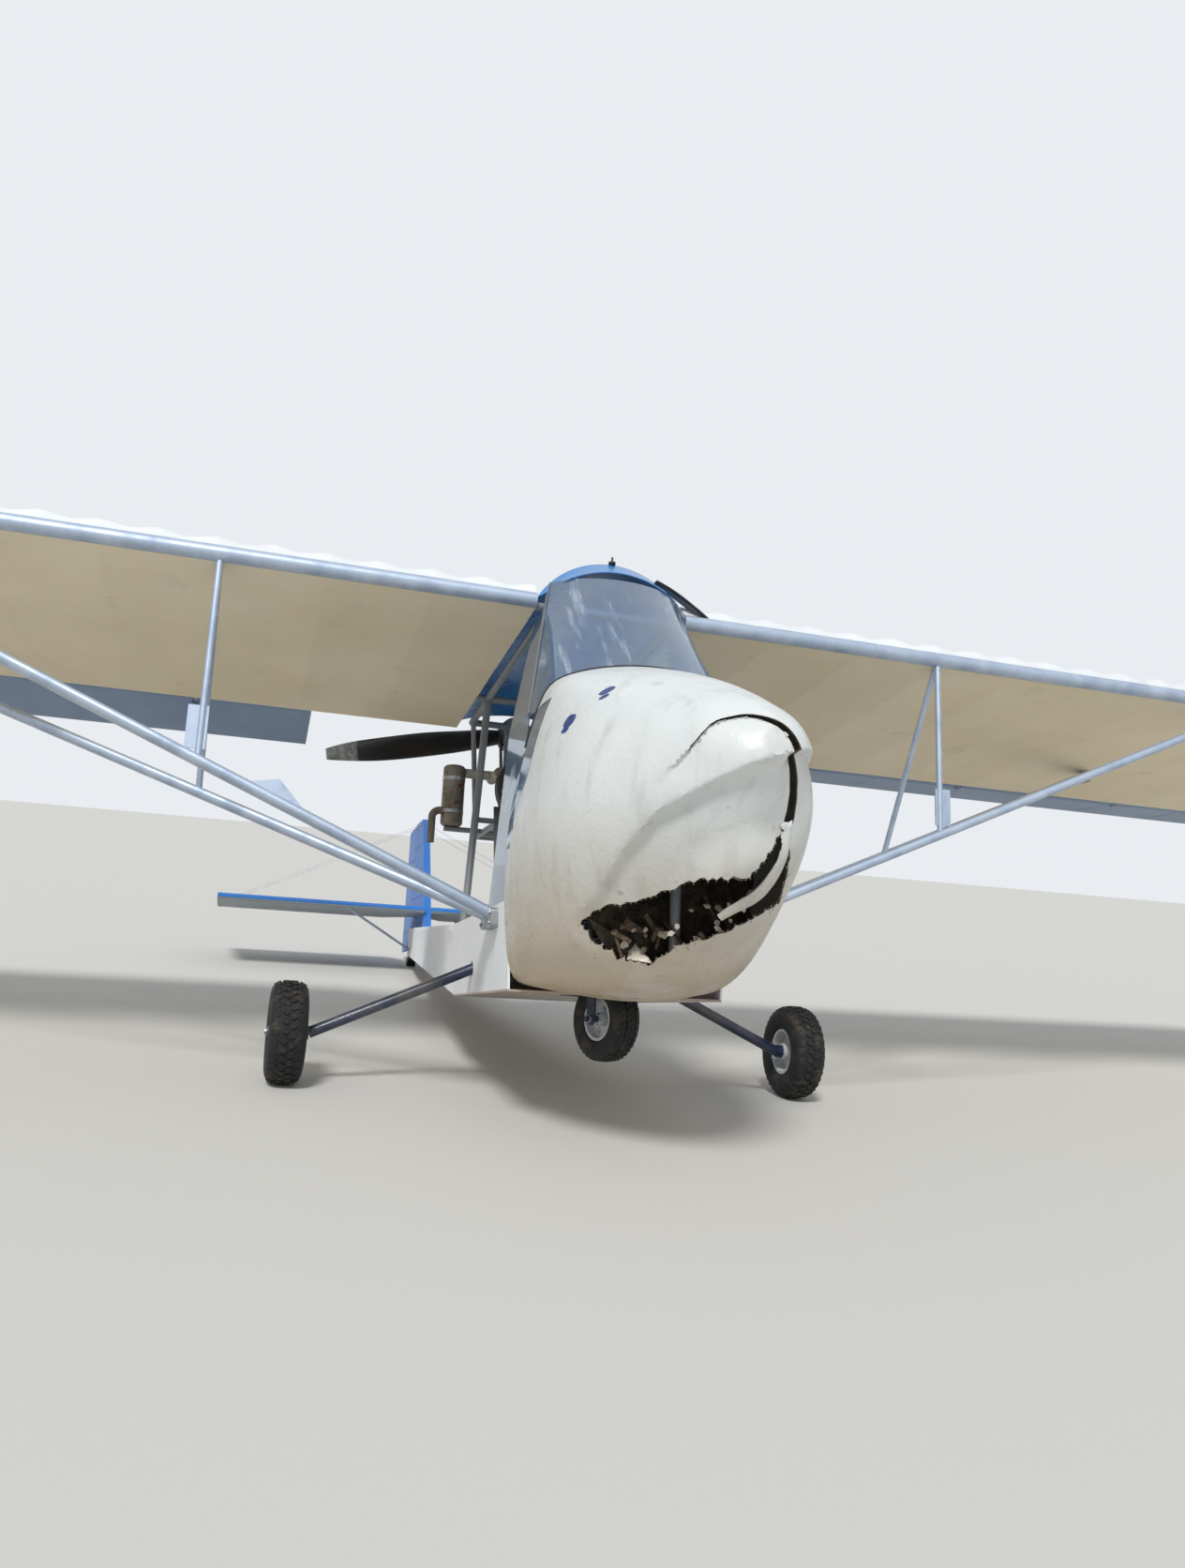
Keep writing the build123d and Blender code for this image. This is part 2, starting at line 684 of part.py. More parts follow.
# Ailerons on brackets behind the trailing edge
hinge_along = wing_chord + swing_gap + aileron_nose_radius
aileron_length = aileron_outer_x - aileron_inner_x
hinge_pitch = aileron_length / aileron_hinge_count
hinge_xs = [aileron_inner_x + hinge_pitch * (n + 0.5) for n in range(aileron_hinge_count)]
for side, sign, droop in (("left", 1, -aileron_rise), ("right", -1, aileron_droop)):
    inner = wing_plane(sign * aileron_inner_x)
    hinge = Plane(
        origin=wing_point(sign * aileron_inner_x, hinge_along),
        x_dir=inner.x_dir.rotate(Axis.X, -droop), z_dir=(1, 0, 0),
    )
    with BuildPart() as aileron:
        with BuildSketch(hinge):
            Circle(aileron_nose_radius)
            with BuildLine():
                Polyline(
                    (0, aileron_nose_radius), (aileron_chord, 3),
                    (aileron_chord, -3), (0, -aileron_nose_radius),
                    close=True,
                )
            make_face()
        extrude(amount=sign * aileron_length)
        for x in hinge_xs:
            with BuildSketch(hinge.offset(sign * (x - aileron_inner_x - 14))):
                Rectangle(2 * (aileron_nose_radius + 8), 4 * aileron_nose_radius)
            extrude(amount=sign * 28, mode=Mode.SUBTRACT)
        with BuildSketch(hinge):
            Circle(hinge_tube_radius)
        extrude(amount=sign * aileron_length)
    pieces[f"aileron_{side}"] = aileron

with BuildPart() as aileron_hinges:
    for x in [sign * x for sign in (1, -1) for x in hinge_xs]:
        with BuildSketch(wing_plane(x - hinge_plate / 2)):
            with Locations((hinge_along, 0)):
                Circle(hinge_tube_radius + 6)
            with Locations(((wing_chord + seat_gap + hinge_along) / 2, 0)):
                Rectangle(hinge_along - wing_chord - seat_gap, 14)
            with Locations((hinge_along, 0)):
                Circle(hinge_tube_radius + bore_clearance, mode=Mode.SUBTRACT)
        extrude(amount=hinge_plate)
pieces["aileron_hinges"] = aileron_hinges

# Lift struts of streamlined tube, and the jury struts that steady them
for side, sign in (("left", 1), ("right", -1)):
    strut_places = (("front", strut_front_at, 0), ("rear", strut_rear_at, rear_strut_setback))
    for name, along, foot_back in strut_places:
        top = wing_point(sign * strut_top_x, along * wing_chord, -spar_tube_radius - 2)
        foot_y = strut_foot_y + foot_back
        foot = Vector(sign * (panel_x(foot_y) - 20), foot_y, strut_foot_z)
        axis = (top - foot).normalized()
        with BuildPart() as strut:
            with BuildSketch(Plane(origin=foot, x_dir=(0, 1, 0), z_dir=axis)):
                SlotOverall(strut_long, strut_thick)
            extrude(amount=(top - foot).length)
            add(tub_form(strut_socket), mode=Mode.SUBTRACT)
            add(pieces[f"wing_{side}"].part, mode=Mode.SUBTRACT)
            add(pieces[f"front_spar_{side}"].part, mode=Mode.SUBTRACT)
        pieces[f"{name}_strut_{side}"] = strut

    with BuildPart() as strut_foot:
        with BuildSketch(Plane.YZ.offset(sign * (panel_x(strut_foot_y) - 40))):
            with Locations((strut_foot_y + rear_strut_setback / 2, strut_foot_z)):
                RectangleRounded(rear_strut_setback + strut_long + 16, 58, 12)
        extrude(amount=sign * 62)
        add(tub_form(seat_gap), mode=Mode.SUBTRACT)
        add(pieces[f"front_strut_{side}"].part, mode=Mode.SUBTRACT)
        add(pieces[f"rear_strut_{side}"].part, mode=Mode.SUBTRACT)
    pieces[f"strut_foot_{side}"] = strut_foot

    # Jury strut: a post from the spar tube down to the front strut, and a brace to the rear strut
    front_top = wing_point(sign * strut_top_x, strut_front_at * wing_chord, -spar_tube_radius)
    rear_top = wing_point(sign * strut_top_x, strut_rear_at * wing_chord, -spar_tube_radius)
    front_foot = Vector(sign * panel_x(strut_foot_y), strut_foot_y, strut_foot_z)
    rear_foot = front_foot + Vector(0, rear_strut_setback, 0)
    reach = (jury_x - abs(front_foot.X)) / (strut_top_x - abs(front_foot.X))
    post_foot = front_foot + (front_top - front_foot) * reach
    brace_foot = rear_foot + (rear_top - rear_foot) * reach
    post_top = wing_point(sign * jury_x, spar_tube_radius, 0)
    with BuildPart() as jury:
        for stop in (post_foot, brace_foot):
            with BuildSketch(run_plane(post_top, stop)):
                Circle(jury_radius)
            extrude(amount=(stop - post_top).length)
        plate_middle = post_top + (post_foot - post_top) * 0.84
        plate_side = Plane(origin=plate_middle + Vector(sign * 12, 0, 0), x_dir=(1, 0, 0), z_dir=(0, 1, 0))
        with BuildSketch(plate_side):
            Rectangle(58, 128)
        extrude(amount=3, both=True)
        for carrier in (f"front_strut_{side}", f"rear_strut_{side}", f"front_spar_{side}", f"wing_{side}"):
            add(pieces[carrier].part, mode=Mode.SUBTRACT)
    pieces[f"jury_strut_{side}"] = jury

# Propeller of laminated wood: two blades in one with the boss
blade_dip = 12.0
boss_half = 28.0
clamp_plate = 12.0
# share of the radius, chord, thickness, pitch angle
blade_sections = (
    (0.05, 62, 40, 38), (0.23, 92, 24, 33), (0.53, 104, 15, 22), (0.81, 88, 10, 16), (1.0, 46, 6, 13),
)
with BuildPart() as blades:
    for sign in (1, -1):
        reach = Vector(sign * cos(radians(blade_dip)), 0, sign * sin(radians(blade_dip)))
        flat = Vector(-reach.Z * sign, 0, reach.X * sign)
        for share, chord, thick, pitch in blade_sections:
            lean = flat * cos(radians(pitch)) + Vector(0, sign * sin(radians(pitch)), 0)
            centre = Vector(0, hub_y, hub_z) + reach * propeller_radius * share
            with BuildSketch(Plane(origin=centre, x_dir=lean, z_dir=reach)):
                Ellipse(chord / 2, thick / 2)
        loft()
    with BuildSketch(Plane.XZ.offset(-hub_y)):
        with Locations((0, hub_z)):
            Circle(68)
    extrude(amount=boss_half, both=True)
    with BuildSketch(Plane.XZ.offset(-hub_y)):
        with Locations((0, hub_z)):
            Circle(propeller_shaft_radius + bore_clearance)
    extrude(amount=2 * boss_half, both=True, mode=Mode.SUBTRACT)
pieces["propeller"] = blades

pulley_radius, pulley_front = 58.0, 862.0
pulley_back = hub_y - boss_half - seat_gap - clamp_plate + 1
with BuildPart() as propeller_hub:
    for sign in (1, -1):
        with BuildSketch(Plane.XZ.offset(-hub_y + sign * (boss_half + seat_gap))):
            with Locations((0, hub_z)):
                Circle(58)
                Circle(propeller_shaft_radius + bore_clearance, mode=Mode.SUBTRACT)
        extrude(amount=sign * clamp_plate)
    # The driven pulley, in one with the front clamp plate, with a rim on both sides of the belts
    for radius, start, stop in (
        (pulley_radius, pulley_front, pulley_back),
        (pulley_radius + 5, pulley_front, pulley_front + 3),
        (pulley_radius + 5, pulley_back - 3, pulley_back),
    ):
        with BuildSketch(Plane.XZ.offset(-start)):
            with Locations((0, hub_z)):
                Circle(radius)
                Circle(propeller_shaft_radius + bore_clearance, mode=Mode.SUBTRACT)
        extrude(amount=start - stop)
pieces["propeller_hub"] = propeller_hub

# Engine: crankcase, two finned cylinders, cooling fan housing at the front, belt drive at the back
case_half, case_front, case_back, case_low, case_high = 78, 560, 800, 865, 1000
case_boss, crank_radius, crank_stub, drive_plate_thick = 26.0, 12.0, 100.0, 14.0
with BuildPart() as crankcase:
    with BuildSketch(Plane.XY.offset(case_low)):
        with Locations((0, (case_front + case_back) / 2)):
            RectangleRounded(2 * case_half, case_back - case_front, 22)
    extrude(amount=case_high - case_low)
    with BuildSketch(Plane.XZ.offset(-case_back)):
        with Locations((0, crank_z)):
            Circle(58)
    extrude(amount=-case_boss)
    with BuildSketch(Plane.XZ.offset(-case_back)):
        with Locations((0, crank_z)):
            Circle(crank_radius)
    extrude(amount=-crank_stub)
pieces["crankcase"] = crankcase

cylinder_ys = (622, 738)
rib_count, rib_pitch, rib_thick, rib_half = 8, 15.0, 5.0, 56.0
with BuildPart() as cylinders:
    for y in cylinder_ys:
        with BuildSketch(Plane.XY.offset(case_high)):
            with Locations((0, y)):
                Circle(40)
        extrude(amount=rib_count * rib_pitch + 22)
        for n in range(rib_count):
            with BuildSketch(Plane.XY.offset(case_high + 8 + n * rib_pitch)):
                with Locations((0, y)):
                    RectangleRounded(2 * rib_half, 2 * rib_half, 20)
            extrude(amount=rib_thick)
        with BuildSketch(Plane.XY.offset(case_high + 8 + rib_count * rib_pitch)):
            with Locations((0, y)):
                Circle(14)
        extrude(amount=36)
pieces["cylinders"] = cylinders

with BuildPart() as fan_housing:
    with BuildSketch(Plane.XZ.offset(-case_front + seat_gap)):
        with Locations((0, crank_z + 25)):
            Circle(142)
    extrude(amount=62)
    fillet(edges().sort_by(Axis.Y)[0], 14)
    with BuildSketch(Plane.XZ.offset(-case_front + seat_gap + 50)):
        with Locations((0, crank_z + 25)):
            Circle(104)
            Circle(42, mode=Mode.SUBTRACT)
    extrude(amount=30, mode=Mode.SUBTRACT)
pieces["fan_housing"] = fan_housing

rail_x = 150
rail_radius, cross_radius = tube_radius - 2, tube_radius - 3.5
muffler_x, muffler_y, muffler_radius = -282, 688, 44
outlet_radius = 15
post_run = (mount_z - sill_z + 20) / (rear_spar.Z - sill_z + 20)
post_y = frame_back_y + post_run * (rear_spar.Y - frame_back_y)
post_gap = 268 + post_run * (205 - 268) - tube_radius - 1
with BuildPart() as engine_mount:
    mount_runs = [
        ((-post_gap, post_y, mount_z), (post_gap, post_y, mount_z), cross_radius),
        ((muffler_x - 28, muffler_y, mount_z), (rail_x + 6, muffler_y, mount_z), cross_radius),
        ((-rail_x - 6, 838, mount_z), (rail_x + 6, 838, mount_z), cross_radius),
    ]
    for sign in (1, -1):
        rail_end = (sign * 205, rail_back.Y - 30, rail_back.Z - tube_radius - 3)
        mount_runs += [
            ((sign * rail_x, post_y, mount_z), (sign * rail_x, 856, mount_z), rail_radius),
            ((sign * rail_x, 846, mount_z), rail_end, cross_radius),
        ]
    for start, stop, radius in mount_runs:
        with BuildSketch(run_plane(start, stop)):
            Circle(radius)
        extrude(amount=run_length(start, stop))
    for y in (600, 760):
        for x in (-50, 50):
            with BuildSketch(Plane.XY.offset(mount_z - 6)):
                with Locations((x, y)):
                    Circle(22)
            extrude(amount=case_low - mount_z + 6)
        with BuildSketch(Plane.XY.offset(mount_z - 6)):
            with Locations((0, y)):
                Rectangle(2 * rail_x, 34)
        extrude(amount=12)
pieces["engine_mount"] = engine_mount

plate_y = case_back + case_boss + seat_gap
with BuildPart() as drive_plate:
    with BuildSketch(Plane.XZ.offset(-plate_y)):
        with Locations((0, (crank_z + hub_z) / 2)):
            SlotCenterToCenter(hub_z - crank_z, 110, rotation=90)
        with Locations((0, crank_z)):
            Circle(20, mode=Mode.SUBTRACT)
    extrude(amount=-drive_plate_thick)
    with BuildSketch(Plane.XZ.offset(-plate_y)):
        with Locations((0, hub_z)):
            Circle(24)
    extrude(amount=-30)
    with BuildSketch(Plane.XZ.offset(-plate_y)):
        with Locations((0, hub_z)):
            Circle(propeller_shaft_radius)
    extrude(amount=-(hub_y + boss_half + 20 - plate_y))
pieces["drive_plate"] = drive_plate

with BuildPart() as crank_pulley:
    with BuildSketch(Plane.XZ.offset(-(case_back + crank_stub))):
        with Locations((0, crank_z)):
            Circle(36)
            Circle(crank_radius + seat_gap, mode=Mode.SUBTRACT)
    extrude(amount=40)
pieces["crank_pulley"] = crank_pulley

with BuildPart() as carburettor:
    with BuildSketch(Plane.YZ.offset(rib_half + seat_gap)):
        with Locations(*[(y, case_high + 50) for y in cylinder_ys]):
            Circle(18)
    extrude(amount=60)
    with BuildSketch(Plane.YZ.offset(rib_half + 58)):
        with Locations((680, case_high + 50)):
            RectangleRounded(190, 74, 20)
    extrude(amount=80)
pieces["carburettor"] = carburettor

with BuildPart() as exhaust:
    with BuildSketch(Plane.YZ.offset(-rib_half - seat_gap)):
        with Locations(*[(y, case_high + 30) for y in cylinder_ys]):
            Circle(17)
    extrude(amount=-62)
    with BuildSketch(Plane.XZ.offset(-(cylinder_ys[0] - 20))):
        with Locations((-(rib_half + 60), case_high + 30)):
            Circle(21)
    extrude(amount=-(cylinder_ys[1] - cylinder_ys[0] + 40))
    with BuildSketch(Plane.YZ.offset(-(rib_half + 60))):
        with Locations((muffler_y, case_high + 30)):
            Circle(19)
    extrude(amount=muffler_x + muffler_radius + seat_gap + rib_half + 60)
pieces["exhaust_manifold"] = exhaust

with BuildPart() as muffler:
    with BuildSketch(Plane.XY.offset(mount_z + cross_radius + seat_gap)):
        with Locations((muffler_x, muffler_y)):
            Circle(muffler_radius)
    extrude(amount=245)
    fillet(edges().filter_by(GeomType.CIRCLE), 16)
    # The outlet pipe, out to the side and down
    outlet_x, outlet_z = muffler_x - muffler_radius - 34, mount_z + cross_radius + 60
    with BuildLine():
        outlet = FilletPolyline(
            (muffler_x, muffler_y, outlet_z), (outlet_x, muffler_y, outlet_z),
            (outlet_x, muffler_y, outlet_z - 130), radius=30,
        )
    with BuildSketch(outlet ^ 0):
        Circle(outlet_radius)
    sweep()
    with BuildSketch(Plane.XY.offset(outlet_z - 131)):
        with Locations((outlet_x, muffler_y)):
            Circle(outlet_radius - 2)
    extrude(amount=40, mode=Mode.SUBTRACT)
pieces["muffler"] = muffler

# Fin and stabiliser
stabilizer_back = stabilizer_y + stabilizer_chord
elevator_hinge_y = stabilizer_back + swing_gap + 14
fin_half = 20
with BuildPart() as fin:
    with BuildSketch(Plane.YZ.offset(-fin_half)):
        with BuildLine():
            Polyline(
                (stabilizer_y - 30, 500), (stabilizer_y + 60, 705), (stabilizer_y + 330, fin_top_z),
                (rudder_hinge_y - 22, fin_top_z), (rudder_hinge_y - 22, 560), close=True,
            )
        make_face()
        fillet(vertices().sort_by(Axis.Y)[2], 60)
        with Locations((elevator_hinge_y, stabilizer_z)):
            Circle(10 + bore_clearance, mode=Mode.SUBTRACT)
    extrude(amount=2 * fin_half)
    add(rear_fuselage.part, mode=Mode.SUBTRACT)
    with BuildSketch(Plane.XY.offset(0)):
        with Locations((0, tail_post_y + 100)):
            Rectangle(200, 200)
    extrude(amount=tail_top_z - 20, mode=Mode.SUBTRACT)
pieces["fin"] = fin

elevator_gap = 60
for side, sign in (("left", 1), ("right", -1)):
    with BuildPart() as stabilizer:
        with BuildSketch(Plane.YZ.offset(sign * (fin_half + seat_gap))):
            with Locations((stabilizer_y + stabilizer_chord / 2, stabilizer_z)):
                SlotOverall(stabilizer_chord, tail_thick)
            with Locations((stabilizer_back - 20, stabilizer_z)):
                Rectangle(40, tail_thick - 6)
        extrude(amount=sign * (tail_half_span - fin_half - seat_gap))
    pieces[f"stabilizer_{side}"] = stabilizer

elevator_hinge_xs = (-900, -400, 400, 900)
with BuildPart() as elevator:
    for sign in (1, -1):
        with BuildSketch(Plane.YZ.offset(sign * elevator_gap)):
            with Locations((elevator_hinge_y, stabilizer_z)):
                Circle(14)
            with BuildLine():
                Polyline(
                    (elevator_hinge_y, stabilizer_z + 14),
                    (elevator_hinge_y + elevator_chord, stabilizer_z + 3),
                    (elevator_hinge_y + elevator_chord, stabilizer_z - 3),
                    (elevator_hinge_y, stabilizer_z - 14),
                    close=True,
                )
            make_face()
        extrude(amount=sign * (tail_half_span - elevator_gap))
    with BuildSketch(Plane.XY.offset(stabilizer_z - 20)):
        with BuildLine():
            Polyline(
                (-elevator_gap, elevator_hinge_y + 20), (elevator_gap, elevator_hinge_y + 20),
                (elevator_gap + 130, elevator_hinge_y + elevator_chord + 5),
                (-elevator_gap - 130, elevator_hinge_y + elevator_chord + 5), close=True,
            )
        make_face()
        for x in elevator_hinge_xs:
            with Locations((x, elevator_hinge_y)):
                Rectangle(26, 44)
    extrude(amount=40, mode=Mode.SUBTRACT)
    with BuildSketch(Plane.YZ.offset(-tail_half_span + 100)):
        with Locations((elevator_hinge_y, stabilizer_z)):
            Circle(10)
    extrude(amount=2 * tail_half_span - 200)
pieces["elevator"] = elevator

rudder_hinge_zs = (530, 800, 1120)
with BuildPart() as rudder:
    with BuildSketch(Plane.XY.offset(rudder_bottom_z)):
        with Locations((0, rudder_hinge_y)):
            Circle(14)
        with BuildLine():
            Polyline(
                (14, rudder_hinge_y), (3, rudder_hinge_y + rudder_chord),
                (-3, rudder_hinge_y + rudder_chord), (-14, rudder_hinge_y), close=True,
            )
        make_face()
    extrude(amount=fin_top_z - rudder_bottom_z)
    for z in rudder_hinge_zs:
        with BuildSketch(Plane.XY.offset(z - 13)):
            with Locations((0, rudder_hinge_y)):
                Rectangle(44, 44)
        extrude(amount=26, mode=Mode.SUBTRACT)
    with BuildSketch(Plane.XY.offset(rudder_bottom_z)):
        with Locations((0, rudder_hinge_y)):
            Circle(8)
    extrude(amount=fin_top_z - rudder_bottom_z)
pieces["rudder"] = rudder

with BuildPart() as tail_hinges:
    for x in elevator_hinge_xs:
        with BuildSketch(Plane.YZ.offset(x - hinge_plate / 2)):
            with Locations(((stabilizer_back + seat_gap + elevator_hinge_y) / 2, stabilizer_z)):
                Rectangle(elevator_hinge_y - stabilizer_back - seat_gap, 14)
            with Locations((elevator_hinge_y, stabilizer_z)):
                Circle(16)
                Circle(10 + bore_clearance, mode=Mode.SUBTRACT)
        extrude(amount=hinge_plate)
    for z in rudder_hinge_zs:
        post_y = tail_post_y if z < tail_top_z - 20 else rudder_hinge_y - 22
        with BuildSketch(Plane.XY.offset(z - hinge_plate / 2)):
            with Locations((0, (post_y + seat_gap + rudder_hinge_y) / 2)):
                Rectangle(14, rudder_hinge_y - post_y - seat_gap)
            with Locations((0, rudder_hinge_y)):
                Circle(14)
                Circle(8 + bore_clearance, mode=Mode.SUBTRACT)
        extrude(amount=hinge_plate)
pieces["tail_hinges"] = tail_hinges


for side, sign in (("left", 1), ("right", -1)):
    brace_top, brace_foot = (sign * 460, 2900, stabilizer_z - 10), (sign * 20, 3250, 450)
    with BuildPart() as tail_brace:
        with BuildSketch(run_plane(brace_top, brace_foot)):
            Circle(7)
        extrude(amount=run_length(brace_top, brace_foot))
        add(pieces[f"stabilizer_{side}"].part, mode=Mode.SUBTRACT)
        add(rear_fuselage.part, mode=Mode.SUBTRACT)
    pieces[f"tail_brace_{side}"] = tail_brace

# The parked stance: tyres and skid both on the ground
skid_reach = hypot(skid_y, skid_z)
park_angle = degrees(asin((tyre_radius - skid_radius) / skid_reach) + atan2(skid_z, skid_y))
parked = Location((0, 0, tyre_radius), (-park_angle, 0, 0))
for piece in pieces.values():
    piece.part = piece.part.moved(parked)
extent = Compound([piece.part for piece in pieces.values()]).bounding_box()
print("park angle", park_angle, "shift", -(extent.min.Y + extent.max.Y) / 2)
for name, piece in pieces.items():
    piece.part = piece.part.moved(Location((0, -(extent.min.Y + extent.max.Y) / 2, 0)))
    piece.part.label = name
    export_step(piece.part, f"parts/{name}.step")
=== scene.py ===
import json
import math
import random

import bmesh
import bpy
from mathutils import Matrix, Vector, noise
from mathutils.bvhtree import BVHTree


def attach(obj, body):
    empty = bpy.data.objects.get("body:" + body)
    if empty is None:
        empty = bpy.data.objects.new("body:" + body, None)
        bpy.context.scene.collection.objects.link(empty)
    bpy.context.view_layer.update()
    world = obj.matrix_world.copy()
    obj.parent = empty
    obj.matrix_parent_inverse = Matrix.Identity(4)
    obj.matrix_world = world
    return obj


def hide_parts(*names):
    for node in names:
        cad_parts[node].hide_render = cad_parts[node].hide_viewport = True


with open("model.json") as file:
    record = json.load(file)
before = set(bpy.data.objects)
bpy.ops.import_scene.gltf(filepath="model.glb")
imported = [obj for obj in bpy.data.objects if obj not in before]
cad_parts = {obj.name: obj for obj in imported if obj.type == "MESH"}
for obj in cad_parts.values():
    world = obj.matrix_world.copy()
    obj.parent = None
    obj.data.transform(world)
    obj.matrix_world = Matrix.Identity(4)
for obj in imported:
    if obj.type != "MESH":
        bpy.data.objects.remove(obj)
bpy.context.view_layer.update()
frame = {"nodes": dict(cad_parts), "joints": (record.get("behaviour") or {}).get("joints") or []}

joints = {joint["name"]: joint for joint in frame["joints"]}
random.seed(11)

# The parked stance: the propeller's axis gives the nose-up angle and the main axle gives the place
propAxis = Vector(joints["propeller_spin"]["axis"])
parkAngle = math.atan2(-propAxis.z, propAxis.y)
axleMiddle = Vector(joints["main_wheel_left_spin"]["pos_m"])


def level(x, y, z):
    # a point in the aircraft's own level axes, from the middle of the main axle, to where it stands
    return Vector((
        x,
        y * math.cos(parkAngle) + z * math.sin(parkAngle) + axleMiddle.y,
        -y * math.sin(parkAngle) + z * math.cos(parkAngle) + axleMiddle.z,
    ))


levelTurn = Matrix.Rotation(-parkAngle, 4, "X")
levelPlace = Matrix.Translation((0, axleMiddle.y, axleMiddle.z)) @ levelTurn


def levelWay(x, y, z):
    # a direction in the level axes, turned to the parked stance
    return levelTurn.to_3x3() @ Vector((x, y, z))


# Helpers
def hexColour(code):
    parts = [int(code[n:n + 2], 16) / 255 for n in (0, 2, 4)]
    return [c / 12.92 if c <= 0.04045 else ((c + 0.055) / 1.055) ** 2.4 for c in parts] + [1.0]


def addNode(tree, kind, settings=None, links=None):
    node = tree.nodes.new(kind)
    for key, value in (settings or {}).items():
        if key in node.inputs:
            node.inputs[key].default_value = value
        else:
            setattr(node, key, value)
    for socket, source in (links or {}).items():
        tree.links.new(source, node.inputs[socket])
    return node


def newFinish(name, roughness=0.5, metallic=0.0, **sockets):
    material = bpy.data.materials.new(name)
    material.use_nodes = True
    tree = material.node_tree
    shader = tree.nodes["Principled BSDF"]
    shader.inputs["Roughness"].default_value = roughness
    shader.inputs["Metallic"].default_value = metallic
    for key, value in sockets.items():
        shader.inputs[key.replace("_", " ")].default_value = value
    place = addNode(tree, "ShaderNodeTexCoord").outputs["Object"]
    return material, tree, shader, place


def blendColours(tree, factor, first, second):
    # the first colour where the factor is 0, the second where it is 1
    mix = addNode(tree, "ShaderNodeMix", {"data_type": "RGBA"})
    for index, value in ((6, first), (7, second)):
        if isinstance(value, str):
            mix.inputs[index].default_value = hexColour(value)
        else:
            tree.links.new(value, mix.inputs[index])
    if isinstance(factor, float):
        mix.inputs[0].default_value = factor
    else:
        tree.links.new(factor, mix.inputs[0])
    return mix.outputs[2]


def patches(tree, place, perMetre, low, high, detail=4.0, stretch=(1, 1, 1)):
    # a mask of soft patches: 1 / perMetre is the usual size of a patch in metres
    scaled = addNode(tree, "ShaderNodeMapping", {"Scale": stretch}, {"Vector": place})
    cloud = addNode(
        tree, "ShaderNodeTexNoise", {"Scale": perMetre, "Detail": detail, "Roughness": 0.6},
        {"Vector": scaled.outputs[0]},
    )
    ramp = addNode(
        tree, "ShaderNodeMapRange", {"From Min": low, "From Max": high, "clamp": True},
        {"Value": cloud.outputs[0]},
    )
    return ramp.outputs[0]


def addBump(tree, shader, height, depth, strength=1.0):
    bump = addNode(tree, "ShaderNodeBump", {"Strength": strength, "Distance": depth}, {"Height": height})
    tree.links.new(bump.outputs[0], shader.inputs["Normal"])


def linkColour(tree, shader, colour):
    tree.links.new(colour, shader.inputs["Base Color"])


def linkRoughness(tree, shader, mask, low, high):
    spread = addNode(tree, "ShaderNodeMapRange", {"To Min": low, "To Max": high}, {"Value": mask})
    tree.links.new(spread.outputs[0], shader.inputs["Roughness"])


def heightMask(tree, place, low, high):
    # 1 at the low height in metres above the ground, 0 at the high one
    height = addNode(tree, "ShaderNodeSeparateXYZ", {}, {0: place}).outputs[2]
    return addNode(
        tree, "ShaderNodeMapRange", {"From Min": high, "From Max": low, "clamp": True}, {"Value": height},
    ).outputs[0]


def multiply(tree, first, second):
    node = addNode(tree, "ShaderNodeMath", {"operation": "MULTIPLY"}, {0: first})
    if isinstance(second, float):
        node.inputs[1].default_value = second
    else:
        tree.links.new(second, node.inputs[1])
    return node.outputs[0]


def newObject(name, bm):
    # the mesh as an object at the origin of the scene
    mesh = bpy.data.meshes.new(name)
    bm.to_mesh(mesh)
    bm.free()
    thing = bpy.data.objects.new(name, mesh)
    bpy.context.scene.collection.objects.link(thing)
    return thing


def smoothMesh(mesh, angle):
    # smooth shading, sharp where faces meet at more than the angle in degrees
    mesh.shade_smooth()
    mesh.set_sharp_from_angle(angle=math.radians(angle))


def makePiece(bm, name, body, finishNames, smooth=40):
    # a piece that rides its body, with one finish for each index of its faces
    piece = newObject(name, bm)
    for finishName in finishNames:
        piece.data.materials.append(finishes[finishName])
    smoothMesh(piece.data, smooth)
    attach(piece, body)
    return piece


def evaluatedMesh(thing):
    # a copy of the mesh with the modifiers applied
    bpy.context.view_layer.update()
    return bpy.data.meshes.new_from_object(thing.evaluated_get(bpy.context.evaluated_depsgraph_get()))


def addModifier(piece, kind, **settings):
    modifier = piece.modifiers.new(kind.lower(), kind)
    for key, value in settings.items():
        setattr(modifier, key, value)
    return modifier


def dress(finishName, *nodeNames):
    for name in nodeNames:
        mesh = frame["nodes"][name].data
        mesh.materials.clear()
        mesh.materials.append(finishes[finishName])


# Shapes shared by the pieces
def roundAngles(count):
    return [2 * math.pi * n / count for n in range(count)]


def addNet(bm, rows, closed=False, finishOf=None):
    # faces between rows of points; finishOf gives the finish for a place in the row
    made = [[bm.verts.new(point) for point in row] for row in rows]
    count = len(rows[0])
    for first, second in zip(made, made[1:]):
        for n in range(count if closed else count - 1):
            after = (n + 1) % count
            face = bm.faces.new((first[n], second[n], second[after], first[after]))
            if finishOf:
                face.material_index = finishOf(n)
    return made


def addLoft(bm, rows, finishOf=None):
    # a solid through closed rows of points
    made = addNet(bm, rows, True, finishOf)
    for ring in (made[0], made[-1]):
        face = bm.faces.new(ring)
        if finishOf:
            face.material_index = finishOf(0)


